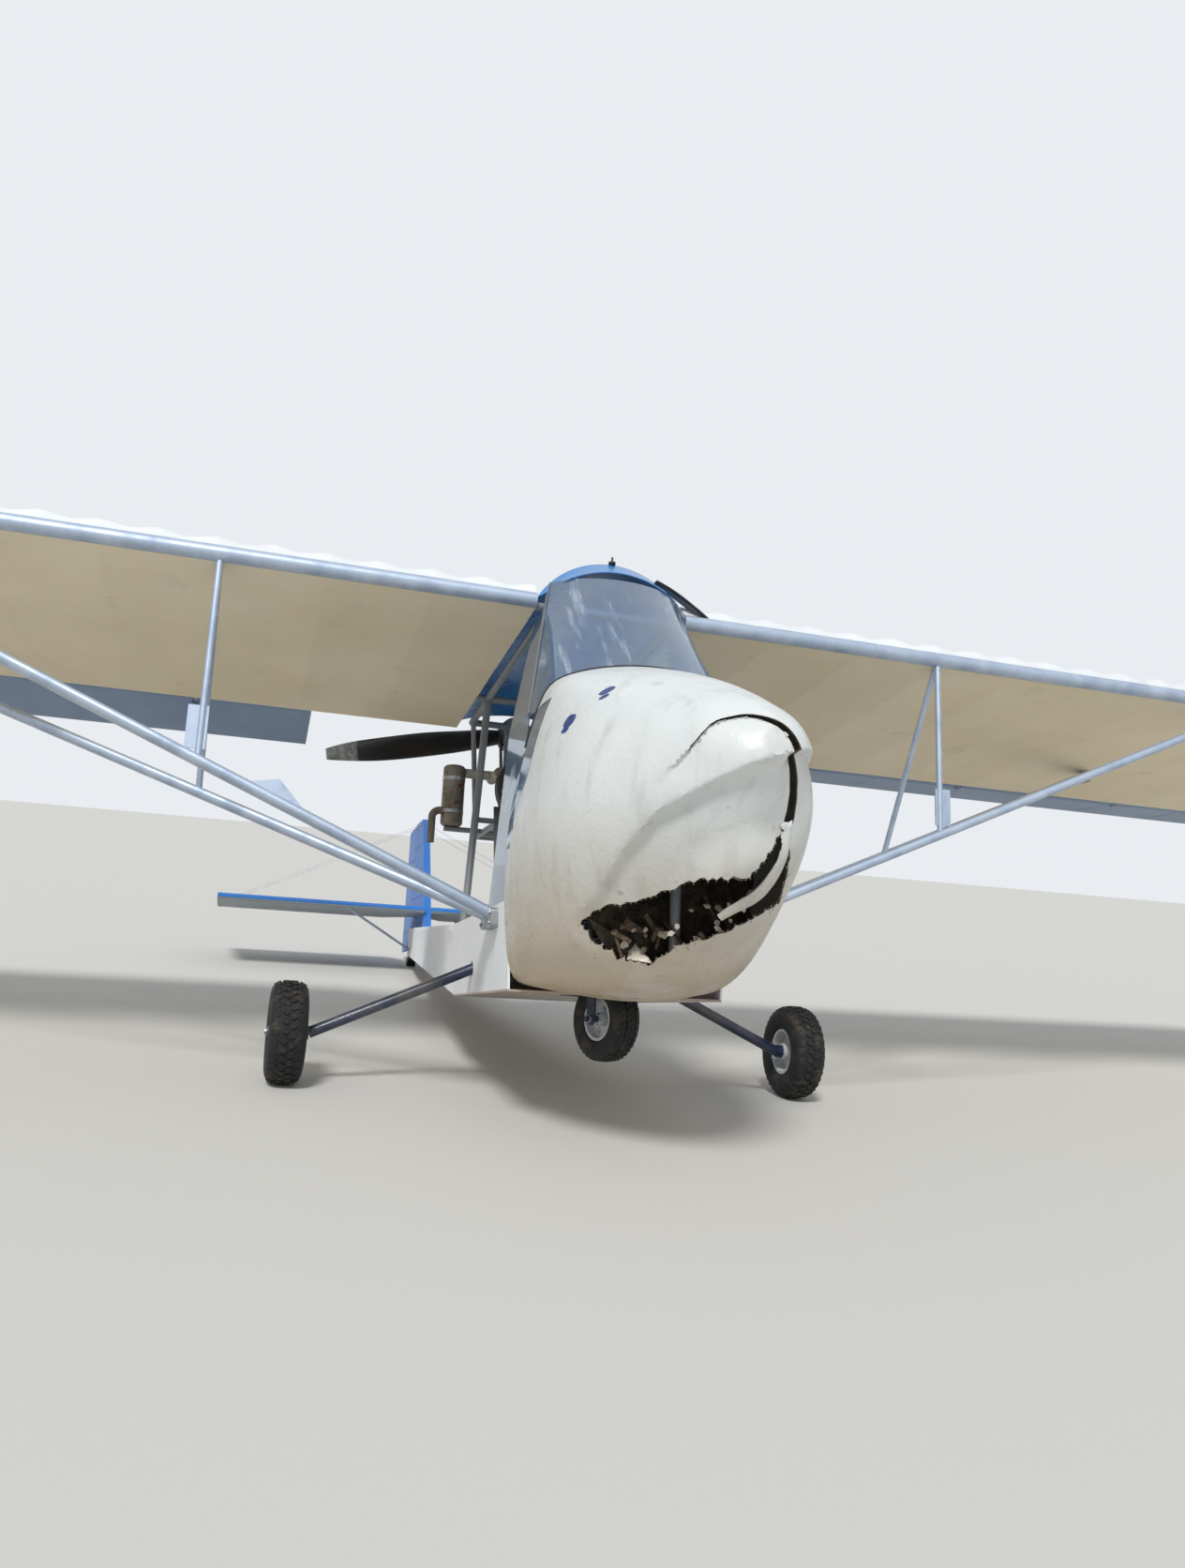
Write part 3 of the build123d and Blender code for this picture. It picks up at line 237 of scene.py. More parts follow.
def addRibbon(bm, line, across, width, thick, finish=0, closed=False):
    # a flat bar that follows a line, its width along across
    side = across.normalized() * width / 2
    rows = []
    for n, point in enumerate(line):
        ahead = line[(n + 1) % len(line)] if closed or n + 1 < len(line) else point
        behind = line[n - 1] if closed or n else point
        rise = (ahead - behind).cross(side).normalized() * thick / 2
        rows.append([point - side - rise, point + side - rise, point + side + rise, point - side + rise])
    if closed:
        addNet(bm, rows + rows[:1], True, lambda n: finish)
    else:
        addLoft(bm, rows, lambda n: finish)


def addTube(bm, line, radius, sides=12, finish=0):
    # a round bar along a line of points, closed at both ends
    side = Vector((0.3, 0.2, 0.9))
    rows = []
    for n, point in enumerate(line):
        heading = (line[min(n + 1, len(line) - 1)] - line[max(n - 1, 0)]).normalized()
        side = (side - heading * side.dot(heading)).normalized()
        other = heading.cross(side)
        rows.append([point + (side * math.cos(a) + other * math.sin(a)) * radius for a in roundAngles(sides)])
    addLoft(bm, rows, lambda n: finish)


def easeEdges(bm, made, edge):
    # the faces of a new solid, its sharp edges bevelled by edge
    faces = {face for vert in made["verts"] for face in vert.link_faces}
    if not edge:
        return faces
    rims = [rim for rim in {rim for face in faces for rim in face.edges} if rim.calc_face_angle(0) > 1.0]
    eased = bmesh.ops.bevel(bm, geom=rims, offset=edge, segments=2, affect="EDGES", profile=0.5, material=-1)
    return {face for face in faces if face.is_valid} | set(eased["faces"])


def addDrum(bm, middle, axis, radius, length, sides=24, finish=0, topRadius=None, edge=0.0):
    # a disc, drum or hexagon around an axis, its edges eased by edge
    turn = Vector((0, 0, 1)).rotation_difference(Vector(axis).normalized()).to_matrix().to_4x4()
    made = bmesh.ops.create_cone(
        bm, cap_ends=True, segments=sides, radius1=radius,
        radius2=radius if topRadius is None else topRadius, depth=length,
        matrix=Matrix.Translation(middle) @ turn,
    )
    for face in easeEdges(bm, made, edge):
        face.material_index = finish


def addStack(bm, foot, axis, layers):
    # drums on one axis; a layer holds rise, radius, top radius, length, sides, finish and eased edge
    for rise, radius, topRadius, length, sides, finish, edge in layers:
        addDrum(bm, foot + axis * rise, axis, radius, length, sides, finish, topRadius, edge)


def addBolt(bm, seat, axis, radius):
    # a washer and a hexagon head standing on a surface
    axis = axis.normalized()
    addDrum(bm, seat + axis * 0.0006, axis, radius * 1.35, 0.0012, 20)
    addDrum(bm, seat + axis * radius * 0.5, axis, radius, radius * 0.8, 6, edge=radius * 0.08)


def addBoltOn(bm, tree, start, out, radius):
    # a bolt where the way in from start meets a surface
    seat = tree.ray_cast(start, -out)[0]
    if seat:
        addBolt(bm, seat, out, radius)


def addBand(bm, middle, axis, radius, width, thick=0.0012):
    # a clamp: a thin band around an axis, with its screw
    side = axis.orthogonal().normalized()
    other = axis.cross(side)
    line = [middle + (side * math.cos(a) + other * math.sin(a)) * radius for a in roundAngles(40)]
    addRibbon(bm, line, axis, width, thick, closed=True)
    addDrum(bm, middle + side * (radius + 0.005), other, 0.0035, 0.014, 6)


def addBox(bm, middle, size, edge=0.0, turn=levelTurn):
    place = Matrix.Translation(middle) @ turn @ Matrix.Diagonal((*size, 1))
    made = bmesh.ops.create_cube(bm, size=1, matrix=place)
    easeEdges(bm, made, edge)


def makeSheet(name, nets, finishName, thick=0.0, smooth=40):
    # a piece of the nose made of sheets, each from rows of points in level axes
    bm = bmesh.new()
    for rows in nets:
        addNet(bm, rows)
    bmesh.ops.recalc_face_normals(bm, faces=bm.faces)
    if thick:
        bmesh.ops.solidify(bm, geom=bm.faces[:], thickness=thick)
    bm.transform(levelPlace)
    makePiece(bm, name, "airframe", [finishName], smooth)


def makeCord(name, finishName, knots, steps, diameter, sides):
    # a loose line held at both ends, on a smooth curve through its knots in level axes
    line = [level(*knot) for knot in curveThrough(knots, steps)]
    bm = bmesh.new()
    addTube(bm, line, diameter / 2, sides)
    piece = makePiece(bm, name, "airframe", [finishName])


def smoothStep(low, high, value):
    share = max(0.0, min(1.0, (value - low) / (high - low)))
    return share * share * (3 - 2 * share)


def curveThrough(rows, steps):
    # rows of numbers with steps - 1 more between each two, on a smooth curve through all of them
    first, last = [[3 * p - 3 * q + r for p, q, r in zip(*three)] for three in (rows[:3], rows[:-4:-1])]
    padded = [first, *rows, last]
    out = []
    for a, b, c, d in zip(padded, padded[1:], padded[2:], padded[3:]):
        for n in range(steps):
            t = n / steps
            out.append([
                0.5 * (
                    2 * q + (r - p) * t + (2 * p - 5 * q + 4 * r - s) * t * t
                    + (3 * q - p - 3 * r + s) * t ** 3
                ) for p, q, r, s in zip(a, b, c, d)
            ])
    return out + [list(rows[-1])]


def cadTree(name):
    # the surface of a CAD node, to seat small pieces on
    mesh = frame["nodes"][name].data
    mesh.calc_loop_triangles()
    return BVHTree.FromPolygons(
        [v.co.copy() for v in mesh.vertices], [tuple(t.vertices) for t in mesh.loop_triangles],
    )


# Finishes, each named for the real material

def gelCoat():
    # polyester gel coat over glass mat, moulded: white, fairly glossy, scuffed; beige low down, partly dust
    # and partly painted shade and reflected ground colour
    material, tree, shader, place = newFinish("gelCoat", roughness=0.3, IOR=1.5)
    clean = blendColours(tree, patches(tree, place, 2.5, 0.35, 0.7), "DDE0DF", "CDD2D2")
    streak = patches(tree, place, 5.0, 0.52, 0.75, 6.0, (3, 3, 0.6))
    dirty = blendColours(tree, multiply(tree, streak, 0.45), clean, "9FA09A")
    # beige towards the bottom: dust, and also painted shade and reflected ground colour on the lower nose
    dust = multiply(tree, heightMask(tree, place, 0.35, 0.95), patches(tree, place, 4.0, 0.1, 0.5))
    dustAndPaintedShade = blendColours(tree, multiply(tree, dust, 0.95), dirty, "B39B74")
    chip = patches(tree, place, 30.0, 0.655, 0.69, 8.0)
    chipped = blendColours(tree, multiply(tree, chip, heightMask(tree, place, 0.3, 1.1)), dustAndPaintedShade, "8B8478")
    linkColour(tree, shader, chipped)
    linkRoughness(tree, shader, patches(tree, place, 14.0, 0.3, 0.8), 0.22, 0.5)
    addBump(tree, shader, patches(tree, place, 60.0, 0.3, 0.7), 0.0006)
    return material


def tornGlassMat():
    # bare glass mat and resin at a tear: fibrous, grey-brown, rough
    material, tree, shader, place = newFinish("tornGlassMat", roughness=0.85)
    fibre = patches(tree, place, 120.0, 0.3, 0.7, 6.0, (1, 6, 1))
    linkColour(tree, shader, blendColours(tree, fibre, "5B5246", "A89C86"))
    addBump(tree, shader, fibre, 0.002)
    return material


def sailCloth(name, pale, shade, thread=0.004, under=None):
    # coated woven sailcloth drawn tight, threads drawn 4 mm apart to show
    material, tree, shader, place = newFinish(
        name, roughness=0.62, Sheen_Weight=0.15, Subsurface_Weight=0.12, Subsurface_Scale=0.02,
    )
    cloth = blendColours(tree, patches(tree, place, 1.6, 0.3, 0.75), pale, shade)
    stain = patches(tree, place, 7.0, 0.6, 0.85, 6.0)
    colour = blendColours(tree, multiply(tree, stain, 0.35), cloth, "8F8672")
    # under: a grey on the faces that point down, painted shade under the surface
    if under:
        normal = addNode(tree, "ShaderNodeNewGeometry").outputs["Normal"]
        upward = addNode(tree, "ShaderNodeSeparateXYZ", {}, {0: normal}).outputs["Z"]
        lit = addNode(tree, "ShaderNodeMapRange", {"From Min": -0.25, "From Max": -0.15}, {"Value": upward})
        colour = blendColours(tree, lit.outputs["Result"], under, colour)
    linkColour(tree, shader, colour)
    warp, weft = [
        addNode(
            tree, "ShaderNodeTexWave", {"bands_direction": way, "Scale": 0.31 / thread, "Distortion": 0.4},
            {"Vector": place},
        ).outputs["Fac"] for way in "XY"
    ]
    addBump(tree, shader, multiply(tree, warp, weft), 0.0004, 0.6)
    return material


def clearSheet():
    # bent polycarbonate: clear, bluish in thickness, hazed and streaked by weather
    material, tree, shader, place = newFinish("clearSheet", IOR=1.58)
    streak = patches(tree, place, 3.0, 0.55, 0.8, 5.0, (9.0, 1.0, 1.0))
    haze = patches(tree, place, 4.0, 0.4, 0.8, 6.0)
    tinted = blendColours(tree, haze, "A9C6E6", "C9D9E8")
    linkColour(tree, shader, blendColours(tree, streak, tinted, "F1F4F6"))
    linkRoughness(tree, shader, streak, 0.06, 0.5)
    cover = addNode(tree, "ShaderNodeMapRange", {"To Min": 0.86, "To Max": 0.35}, {"Value": streak})
    tree.links.new(cover.outputs["Result"], shader.inputs["Transmission Weight"])
    return material


def glossSheet(name, main, faded):
    # painted sheet, faded and dusty
    material, tree, shader, place = newFinish(name, roughness=0.32, Coat_Weight=0.3, Coat_Roughness=0.2)
    fade = patches(tree, place, 3.0, 0.35, 0.75)
    colour = blendColours(tree, fade, main, faded)
    dust = patches(tree, place, 18.0, 0.55, 0.8, 6.0)
    linkColour(tree, shader, blendColours(tree, multiply(tree, dust, 0.3), colour, "B5AFA2"))
    linkRoughness(tree, shader, dust, 0.26, 0.6)
    return material


def paintedTube(name, main, worn, roughness=0.4):
    # enamel on steel tube, rubbed at the joints and dusty
    material, tree, shader, place = newFinish(name, roughness=roughness, Coat_Weight=0.15)
    wear = patches(tree, place, 26.0, 0.6, 0.72, 8.0)
    colour = blendColours(tree, wear, main, worn)
    dust = patches(tree, place, 6.0, 0.45, 0.8)
    linkColour(tree, shader, blendColours(tree, multiply(tree, dust, 0.35), colour, "A79C88"))
    linkRoughness(tree, shader, wear, roughness, roughness + 0.3)
    addBump(tree, shader, wear, 0.0003)
    return material


def bareAlloy(name, main, dull, roughness=0.35, metallic=0.85):
    # extruded or turned aluminium, dulled by weather
    material, tree, shader, place = newFinish(name, roughness=roughness, metallic=metallic)
    dullness = patches(tree, place, 12.0, 0.35, 0.75, 5.0)
    linkColour(tree, shader, blendColours(tree, dullness, main, dull))
    linkRoughness(tree, shader, dullness, roughness - 0.08, roughness + 0.25)
    addBump(tree, shader, patches(tree, place, 260.0, 0.3, 0.7), 0.0002)
    return material


def castAlloy():
    # sand-cast engine alloy: grainy, oily in its hollows
    material, tree, shader, place = newFinish("castAlloy", roughness=0.55, metallic=0.6)
    oil = patches(tree, place, 16.0, 0.45, 0.65, 6.0)
    linkColour(tree, shader, blendColours(tree, oil, "7A7671", "2E2A26"))
    linkRoughness(tree, shader, oil, 0.6, 0.3)
    addBump(tree, shader, patches(tree, place, 400.0, 0.3, 0.7), 0.0004)
    return material


def rustySteel():
    # thin steel of an exhaust: heat-stained, with orange rust in patches
    material, tree, shader, place = newFinish("rustySteel", roughness=0.7, metallic=0.35)
    heat = blendColours(tree, patches(tree, place, 9.0, 0.3, 0.7), "9B9388", "6E665B")
    rust = patches(tree, place, 30.0, 0.54, 0.66, 8.0)
    linkColour(tree, shader, blendColours(tree, rust, heat, "7A4527"))
    linkRoughness(tree, shader, rust, 0.5, 0.9)
    addBump(tree, shader, rust, 0.0006)
    return material


def mouldedBlack():
    # moulded black ABS with a fine grain
    material, tree, shader, place = newFinish("mouldedBlack", roughness=0.5)
    dust = patches(tree, place, 11.0, 0.45, 0.8, 5.0)
    linkColour(tree, shader, blendColours(tree, multiply(tree, dust, 0.3), "131416", "6E675C"))
    addBump(tree, shader, patches(tree, place, 500.0, 0.3, 0.7), 0.0003)
    return material


def tyreRubber():
    # natural rubber, sun-dulled, with dry soil rubbed into it
    material, tree, shader, place = newFinish("tyreRubber", roughness=0.78)
    soil = patches(tree, place, 22.0, 0.5, 0.75, 7.0)
    linkColour(tree, shader, blendColours(tree, multiply(tree, soil, 0.45), "17181A", "6B5D49"))
    addBump(tree, shader, patches(tree, place, 300.0, 0.3, 0.7), 0.0004)
    return material


def rimNylon():
    # moulded glass-filled nylon wheel, pale grey with road dust
    material, tree, shader, place = newFinish("rimNylon", roughness=0.45)
    soil = patches(tree, place, 25.0, 0.5, 0.8, 6.0)
    linkColour(tree, shader, blendColours(tree, multiply(tree, soil, 0.5), "C9CCCF", "8C8069"))
    return material


def varnishedWood():
    # laminated propeller wood under dark varnish, with a pale patchy band on the tips that is a painted
    # highlight for sunlight on the blade ends
    material, tree, shader, place = newFinish("varnishedWood", roughness=0.28, Coat_Weight=0.4)
    grain = addNode(
        tree, "ShaderNodeTexWave",
        {"bands_direction": "Z", "Scale": 45.0, "Distortion": 3.0, "Detail": 3.0}, {"Vector": place},
    )
    wood = blendColours(tree, grain.outputs[1], "17181B", "2B2622")
    reach = addNode(tree, "ShaderNodeVectorMath", {"operation": "DISTANCE"}, {0: place})
    reach.inputs[1].default_value = joints["propeller_spin"]["pos_m"]
    # pale tips: painted highlight where the sun falls on the blades
    tip = addNode(
        tree, "ShaderNodeMapRange", {"From Min": 0.66, "From Max": 0.668}, {"Value": reach.outputs["Value"]},
    )
    worn = patches(tree, place, 40.0, 0.35, 0.6, 6.0)
    paleTipHighlight = blendColours(tree, worn, "A7ABAD", "6C6D6C")
    linkColour(tree, shader, blendColours(tree, tip.outputs["Result"], wood, paleTipHighlight))
    return material


def crushedFoam():
    # core of the nose, rigid foam broken open and soiled: brown to near black, very rough
    material, tree, shader, place = newFinish("crushedFoam", roughness=0.95)
    broken = patches(tree, place, 26.0, 0.42, 0.62, 8.0)
    soiled = patches(tree, place, 60.0, 0.35, 0.7, 6.0)
    colour = blendColours(tree, broken, "120F0D", "463A2E")
    linkColour(tree, shader, blendColours(tree, multiply(tree, soiled, 0.3), colour, "6F6250"))
    addBump(tree, shader, soiled, 0.004)
    return material


def rawPly():
    # birch plywood split along its grain
    material, tree, shader, place = newFinish("rawPly", roughness=0.8)
    grain = patches(tree, place, 40.0, 0.35, 0.7, 6.0, (1, 5, 5))
    linkColour(tree, shader, blendColours(tree, grain, "2A211A", "6E5A43"))
    addBump(tree, shader, grain, 0.001)
    return material


def paintMark():
    # plain blue marking film, a little faded
    material, tree, shader, place = newFinish("markBlue", roughness=0.35)
    linkColour(tree, shader, blendColours(tree, patches(tree, place, 40.0, 0.4, 0.7), "1B2F6B", "31579A"))
    return material


def plainFinish(name, colour, worn, roughness, fine=0.0003):
    # one even material, mottled a little and grained
    material, tree, shader, place = newFinish(name, roughness=roughness)
    linkColour(tree, shader, blendColours(tree, patches(tree, place, 30.0, 0.4, 0.75, 5.0), colour, worn))
    addBump(tree, shader, patches(tree, place, 350.0, 0.3, 0.7), fine)
    return material


def seatCloth():
    # coarse woven seat cover, threads drawn 3 mm apart to show
    material, tree, shader, place = newFinish("seatCloth", roughness=0.9, Sheen_Weight=0.3)
    weave = addNode(tree, "ShaderNodeTexChecker", {"Scale": 330.0}, {"Vector": place})
    fade = patches(tree, place, 8.0, 0.35, 0.75)
    linkColour(tree, shader, blendColours(tree, fade, "1B1E24", "33363C"))
    addBump(tree, shader, weave.outputs[1], 0.0008)
    return material


def tankPlastic():
    # blow-moulded polythene, milky, stained by fuel in patches
    material, tree, shader, place = newFinish(
        "tankPlastic", roughness=0.4, Subsurface_Weight=0.25, Subsurface_Scale=0.03,
    )
    stain = patches(tree, place, 12.0, 0.4, 0.8)
    linkColour(tree, shader, blendColours(tree, stain, "D9D4C2", "BFA873"))
    return material


finishes = {
    "gelCoat": gelCoat(),
    "tornGlassMat": tornGlassMat(),
    "ceramic": plainFinish("ceramic", "E9E6DE", "CFC8B8", 0.25, 0.0001),  # glazed plug insulator
    "beltRubber": plainFinish("beltRubber", "141414", "2B2926", 0.7),  # ribbed neoprene belt and edge seal
    "paleSteel": plainFinish("paleSteel", "C6C0B2", "8F8778", 0.6, 0.0002),  # steel bleached by heat
    "fuelHose": plainFinish("fuelHose", "8A6A3A", "A98748", 0.35, 0.0001),  # clear hose gone amber with fuel
    "dialPaint": plainFinish("dialPaint", "E4E1D2", "C9C5B4", 0.5, 0.0001),  # ivory dial paint
    "crushedFoam": crushedFoam(),
    "rawPly": rawPly(),
    "markBlue": paintMark(),
    # cream underside of the wing cloth: painted shade and sunlight glowing through the fabric
    "shadeGlowSail": sailCloth("shadeGlowSail", "EBDDC0", "DCCCA8"),
    "whiteSail": sailCloth("whiteSail", "EDEFF0", "DDE1E4"),
    "blueSail": sailCloth("blueSail", "1272C4", "175FA8"),
    # blue tail cloth with a grey painted shade on its downward faces
    "tailSailShadedBelow": sailCloth("tailSailShadedBelow", "1272C4", "175FA8", under="8C949A"),
    "greyBlueSail": sailCloth("greyBlueSail", "8FA3BC", "7489A6"),
    "clearSheet": clearSheet(),
    "blueSheet": glossSheet("blueSheet", "2F83CC", "3F74A8"),
    # beige of the belly: painted shade with ground light bounced onto white fabric
    "bellyShadeSheet": glossSheet("bellyShadeSheet", "B7A596", "9C8B7C"),
    "greyTube": paintedTube("greyTube", "7F858B", "54504A"),
    "navyTube": paintedTube("navyTube", "1F2B44", "4A4641"),
    "strutAlloy": bareAlloy("strutAlloy", "BCC9DA", "9AA9BF", 0.4, 0.55),
    "bareAlloy": bareAlloy("bareAlloy", "B9BABC", "85868A"),
    "castAlloy": castAlloy(),
    "rustySteel": rustySteel(),
    "mouldedBlack": mouldedBlack(),
    "tyreRubber": tyreRubber(),
    "rimNylon": rimNylon(),
    "varnishedWood": varnishedWood(),
    "seatCloth": seatCloth(),
    "tankPlastic": tankPlastic(),
}
print("finishes made")

dress("tyreRubber", "main_tyre_left", "main_tyre_right", "nose_tyre")
dress("rimNylon", "main_rim_left", "main_rim_right", "nose_rim")
dress("navyTube", "gear_leg_left", "gear_leg_right", "nose_fork")
dress("gelCoat", "nose_cone")
dress("whiteSail", "side_panel_left", "side_panel_right", "rear_fuselage", "wing_left", "wing_right")
dress("bellyShadeSheet", "floor_pan")
dress("clearSheet", "windscreen", "side_window_left", "side_window_right")
dress("blueSheet", "roof")
dress("greyTube", "cabin_frame", "engine_mount")
dress("seatCloth", "seat")
dress("mouldedBlack", "instrument_panel", "control_stick", "tail_skid", "fan_housing")
dress("bareAlloy", "rudder_pedals", "aileron_hinges", "tail_hinges", "strut_foot_left", "strut_foot_right")
dress("bareAlloy", "propeller_hub", "drive_plate", "crank_pulley", "carburettor")
dress("tankPlastic", "fuel_tank")
dress("strutAlloy", "front_spar_left", "front_spar_right", "front_strut_left", "front_strut_right")
dress("strutAlloy", "rear_strut_left", "rear_strut_right", "jury_strut_left", "jury_strut_right")
dress("strutAlloy", "tail_brace_left", "tail_brace_right")
dress("greyBlueSail", "aileron_left", "aileron_right")
dress("blueSail", "fin", "rudder")
dress("tailSailShadedBelow", "stabilizer_left", "stabilizer_right", "elevator")
dress("varnishedWood", "propeller")
dress("castAlloy", "crankcase", "cylinders")
dress("rustySteel", "muffler")
dress("paleSteel", "exhaust_manifold")

# Nose cone: the moulded shell, its beak driven in, with the tear, the crack and their broken edges.
# Rows are middle x, y, half width and its z, half width and z of the shoulder, crown,
# half width and z of the chine, keel.
nose = {
    "rows": (
        (0, -0.640, 0.350, 0.560, 0.262, 1.020, 1.118, 0.318, 0.172, 0.140),
        (0, -0.900, 0.366, 0.600, 0.285, 0.985, 1.052, 0.292, 0.235, 0.140),
        (0.004, -1.150, 0.328, 0.650, 0.236, 0.903, 0.966, 0.236, 0.345, 0.226),
        (0.014, -1.360, 0.234, 0.675, 0.170, 0.820, 0.872, 0.165, 0.474, 0.392),
        (0.034, -1.490, 0.138, 0.692, 0.100, 0.770, 0.805, 0.098, 0.596, 0.552),
        (0.046, -1.560, 0.048, 0.698, 0.034, 0.729, 0.744, 0.034, 0.666, 0.652),
    ),
    "steps": 15, "aroundSteps": 32, "wall": 0.005, "smoothPasses": 4,
    # what closes the point: share of the last ring and how far ahead of it
    "point": ((0.86, 0.0045), (0.62, 0.008), (0.34, 0.0095), (0.1, 0.010)),
    "tear": (
        (-0.247, 0.307), (-0.226, 0.342), (-0.126, 0.368), (-0.053, 0.403), (0.070, 0.417), (0.120, 0.494),
        (0.152, 0.540), (0.172, 0.505), (0.214, 0.420), (0.230, 0.378), (0.158, 0.346), (0.045, 0.283),
        (-0.039, 0.257), (-0.075, 0.213), (-0.143, 0.228), (-0.207, 0.264),
    ),
    # x, z and width, from the tear up and over to the right
    "crack": (
        (0.150, 0.530, 0.024), (0.158, 0.577, 0.024), (0.140, 0.632, 0.020), (0.100, 0.700, 0.016),
        (0.058, 0.741, 0.012), (0, 0.762, 0.007), (-0.044, 0.757, 0.005), (-0.083, 0.741, 0.004),
        (-0.127, 0.681, 0.003),
    ),
    "ridge": (
        (0.074, 0.678), (-0.009, 0.653), (-0.079, 0.616), (-0.173, 0.555), (-0.222, 0.472), (-0.247, 0.36),
    ),
    "firmFrom": -1.0, "waves": 0.0025, "pushedIn": 0.014, "underRidge": 0.042,
    "jag": 0.0045, "jagPitch": 0.009,
    "well": (-0.54, 0.142),  # middle y and radius of the nosewheel's opening
    # y and z of the openings that the side windows close
    "doorEdge": ((-0.60, 0.394), (-0.900, 0.720), (-0.900, 0.930), (-0.60, 0.930)),
}


def arcThrough(first, middle, last, count):
    # points on the circle through three places, without the last
    (ax, az), (bx, bz), (cx, cz) = first, middle, last
    cross = 2 * (ax * (bz - cz) + bx * (cz - az) + cx * (az - bz))
    squares = ax * ax + az * az, bx * bx + bz * bz, cx * cx + cz * cz
    ox = (squares[0] * (bz - cz) + squares[1] * (cz - az) + squares[2] * (az - bz)) / cross
    oz = (squares[0] * (cx - bx) + squares[1] * (ax - cx) + squares[2] * (bx - ax)) / cross
    start, via, stop = [math.atan2(z - oz, x - ox) for x, z in (first, middle, last)]
    sweep = (stop - start) % (2 * math.pi)
    if (via - start) % (2 * math.pi) > sweep:
        sweep -= 2 * math.pi
    radius = math.hypot(ax - ox, az - oz)
    return [
        (ox + radius * math.cos(start + sweep * n / count), oz + radius * math.sin(start + sweep * n / count))
        for n in range(count)
    ]


def noseRing(row):
    # a section of the nose, from four arcs whose joins are then evened out
    count = nose["aroundSteps"]
    mid, y, half, sideZ, topHalf, topZ, crown, lowHalf, lowZ, keel = row
    low, side, top = (mid + lowHalf, lowZ), (mid + half, sideZ), (mid + topHalf, topZ)
    lowOther, sideOther, topOther = (mid - lowHalf, lowZ), (mid - half, sideZ), (mid - topHalf, topZ)
    ring = arcThrough(low, side, top, count) + arcThrough(top, (mid, crown), topOther, count)
    ring += arcThrough(topOther, sideOther, lowOther, count) + arcThrough(lowOther, (mid, keel), low, count)
    for _ in range(nose["smoothPasses"]):
        ring = [
            tuple((ring[n - 1][k] + 2 * ring[n][k] + ring[(n + 1) % len(ring)][k]) / 4 for k in (0, 1))
            for n in range(len(ring))
        ]
    return [(x, y, z) for x, z in ring]


def sideOfLine(x, z, line):
    # distance to a line of points, and whether the place is below it
    best, below = 9.0, False
    for (ax, az), (bx, bz) in zip(line, line[1:]):
        run = Vector((bx - ax, bz - az))
        share = max(0.0, min(1.0, Vector((x - ax, z - az)).dot(run) / run.length_squared))
        gap = Vector((x - ax - run.x * share, z - az - run.y * share))
        if gap.length < best:
            best, below = gap.length, run.x * gap.y - run.y * gap.x > 0
    return best, below


def noseShift(x, y, z):
    # a point of the moulded shape to where the crash pushed it: nothing moved behind firmFrom
    firm = nose["firmFrom"]
    if y > firm:
        return Vector((x, y, z))
    push = nose["waves"] * noise.noise(Vector((x, y, z)) * 7) * smoothStep(firm, firm - 0.15, y)
    gap, below = sideOfLine(x, z, nose["ridge"])
    if below:
        push += nose["underRidge"] * smoothStep(0.0, 0.035, gap) * (1 - smoothStep(0.12, 0.24, gap))
    gap, below = sideOfLine(x, z, [(crackX, crackZ) for crackX, crackZ, _ in nose["crack"]])
    if below:
        push += nose["pushedIn"] * (1 - smoothStep(0.02, 0.11, gap))
    return Vector((x, y + push * smoothStep(firm, firm - 0.2, y), z))


def jagged(outline, pitch, jag):
    # the outline in short steps, each pushed off it by a random part of jag
    out = []
    for (ax, az), (bx, bz) in zip(outline, outline[1:] + outline[:1]):
        length = math.hypot(bx - ax, bz - az)
        count = max(1, round(length / pitch))
        for n in range(count):
            share = n / count
            off = random.uniform(-jag, jag) * (1.6 if random.random() < 0.15 else 1)
            out.append((
                ax + (bx - ax) * share - (bz - az) / length * off,
                az + (bz - az) * share + (bx - ax) / length * off,
            ))
    return out


def cutterFrom(bm, name):
    # a solid to cut the shell with, which leaves its faces in the second finish
    bmesh.ops.recalc_face_normals(bm, faces=bm.faces)
    for face in bm.faces:
        face.material_index = 1
    return newObject(name, bm)


def prism(name, outline, start, stop, place):
    # a cutter through the outline
    bm = bmesh.new()
    addLoft(bm, [[place(a, b, depth) for a, b in outline] for depth in (start, stop)])
    bmesh.ops.triangulate(bm, faces=[f for f in bm.faces if len(f.verts) > 4])
    return cutterFrom(bm, name)


def slit(name, line, start, stop):
    # a cutter along a line of x, z and width
    rows = []
    for n, (x, z, wide) in enumerate(line):
        before, after = line[max(n - 1, 0)], line[min(n + 1, len(line) - 1)]
        run = Vector((after[0] - before[0], after[1] - before[1])).normalized() * wide / 2
        rows.append([
            Vector((x + run.y, start, z - run.x)), Vector((x - run.y, start, z + run.x)),
            Vector((x - run.y, stop, z + run.x)), Vector((x + run.y, stop, z - run.x)),
        ])
    bm = bmesh.new()
    addLoft(bm, rows)
    return cutterFrom(bm, name)


def noseSurface():
    # the outer skin as a mesh, open at the rear
    rings = [noseRing(row) for row in curveThrough(nose["rows"], nose["steps"])]
    last = rings[-1]
    middle = Vector((nose["rows"][-1][0], 0, 0.698))
    for share, ahead in nose["point"]:
        rings.append([
            (middle.x + (x - middle.x) * share, y - ahead, middle.z + (z - middle.z) * share)
            for x, y, z in last
        ])
    bm = bmesh.new()
    made = addNet(bm, [[noseShift(*point) for point in ring] for ring in rings], True)
    bm.faces.new(made[-1])
    bmesh.ops.recalc_face_normals(bm, faces=bm.faces)
    if sum(f.normal.y for f in bm.faces) > 0:
        bmesh.ops.reverse_faces(bm, faces=bm.faces)
    return bm


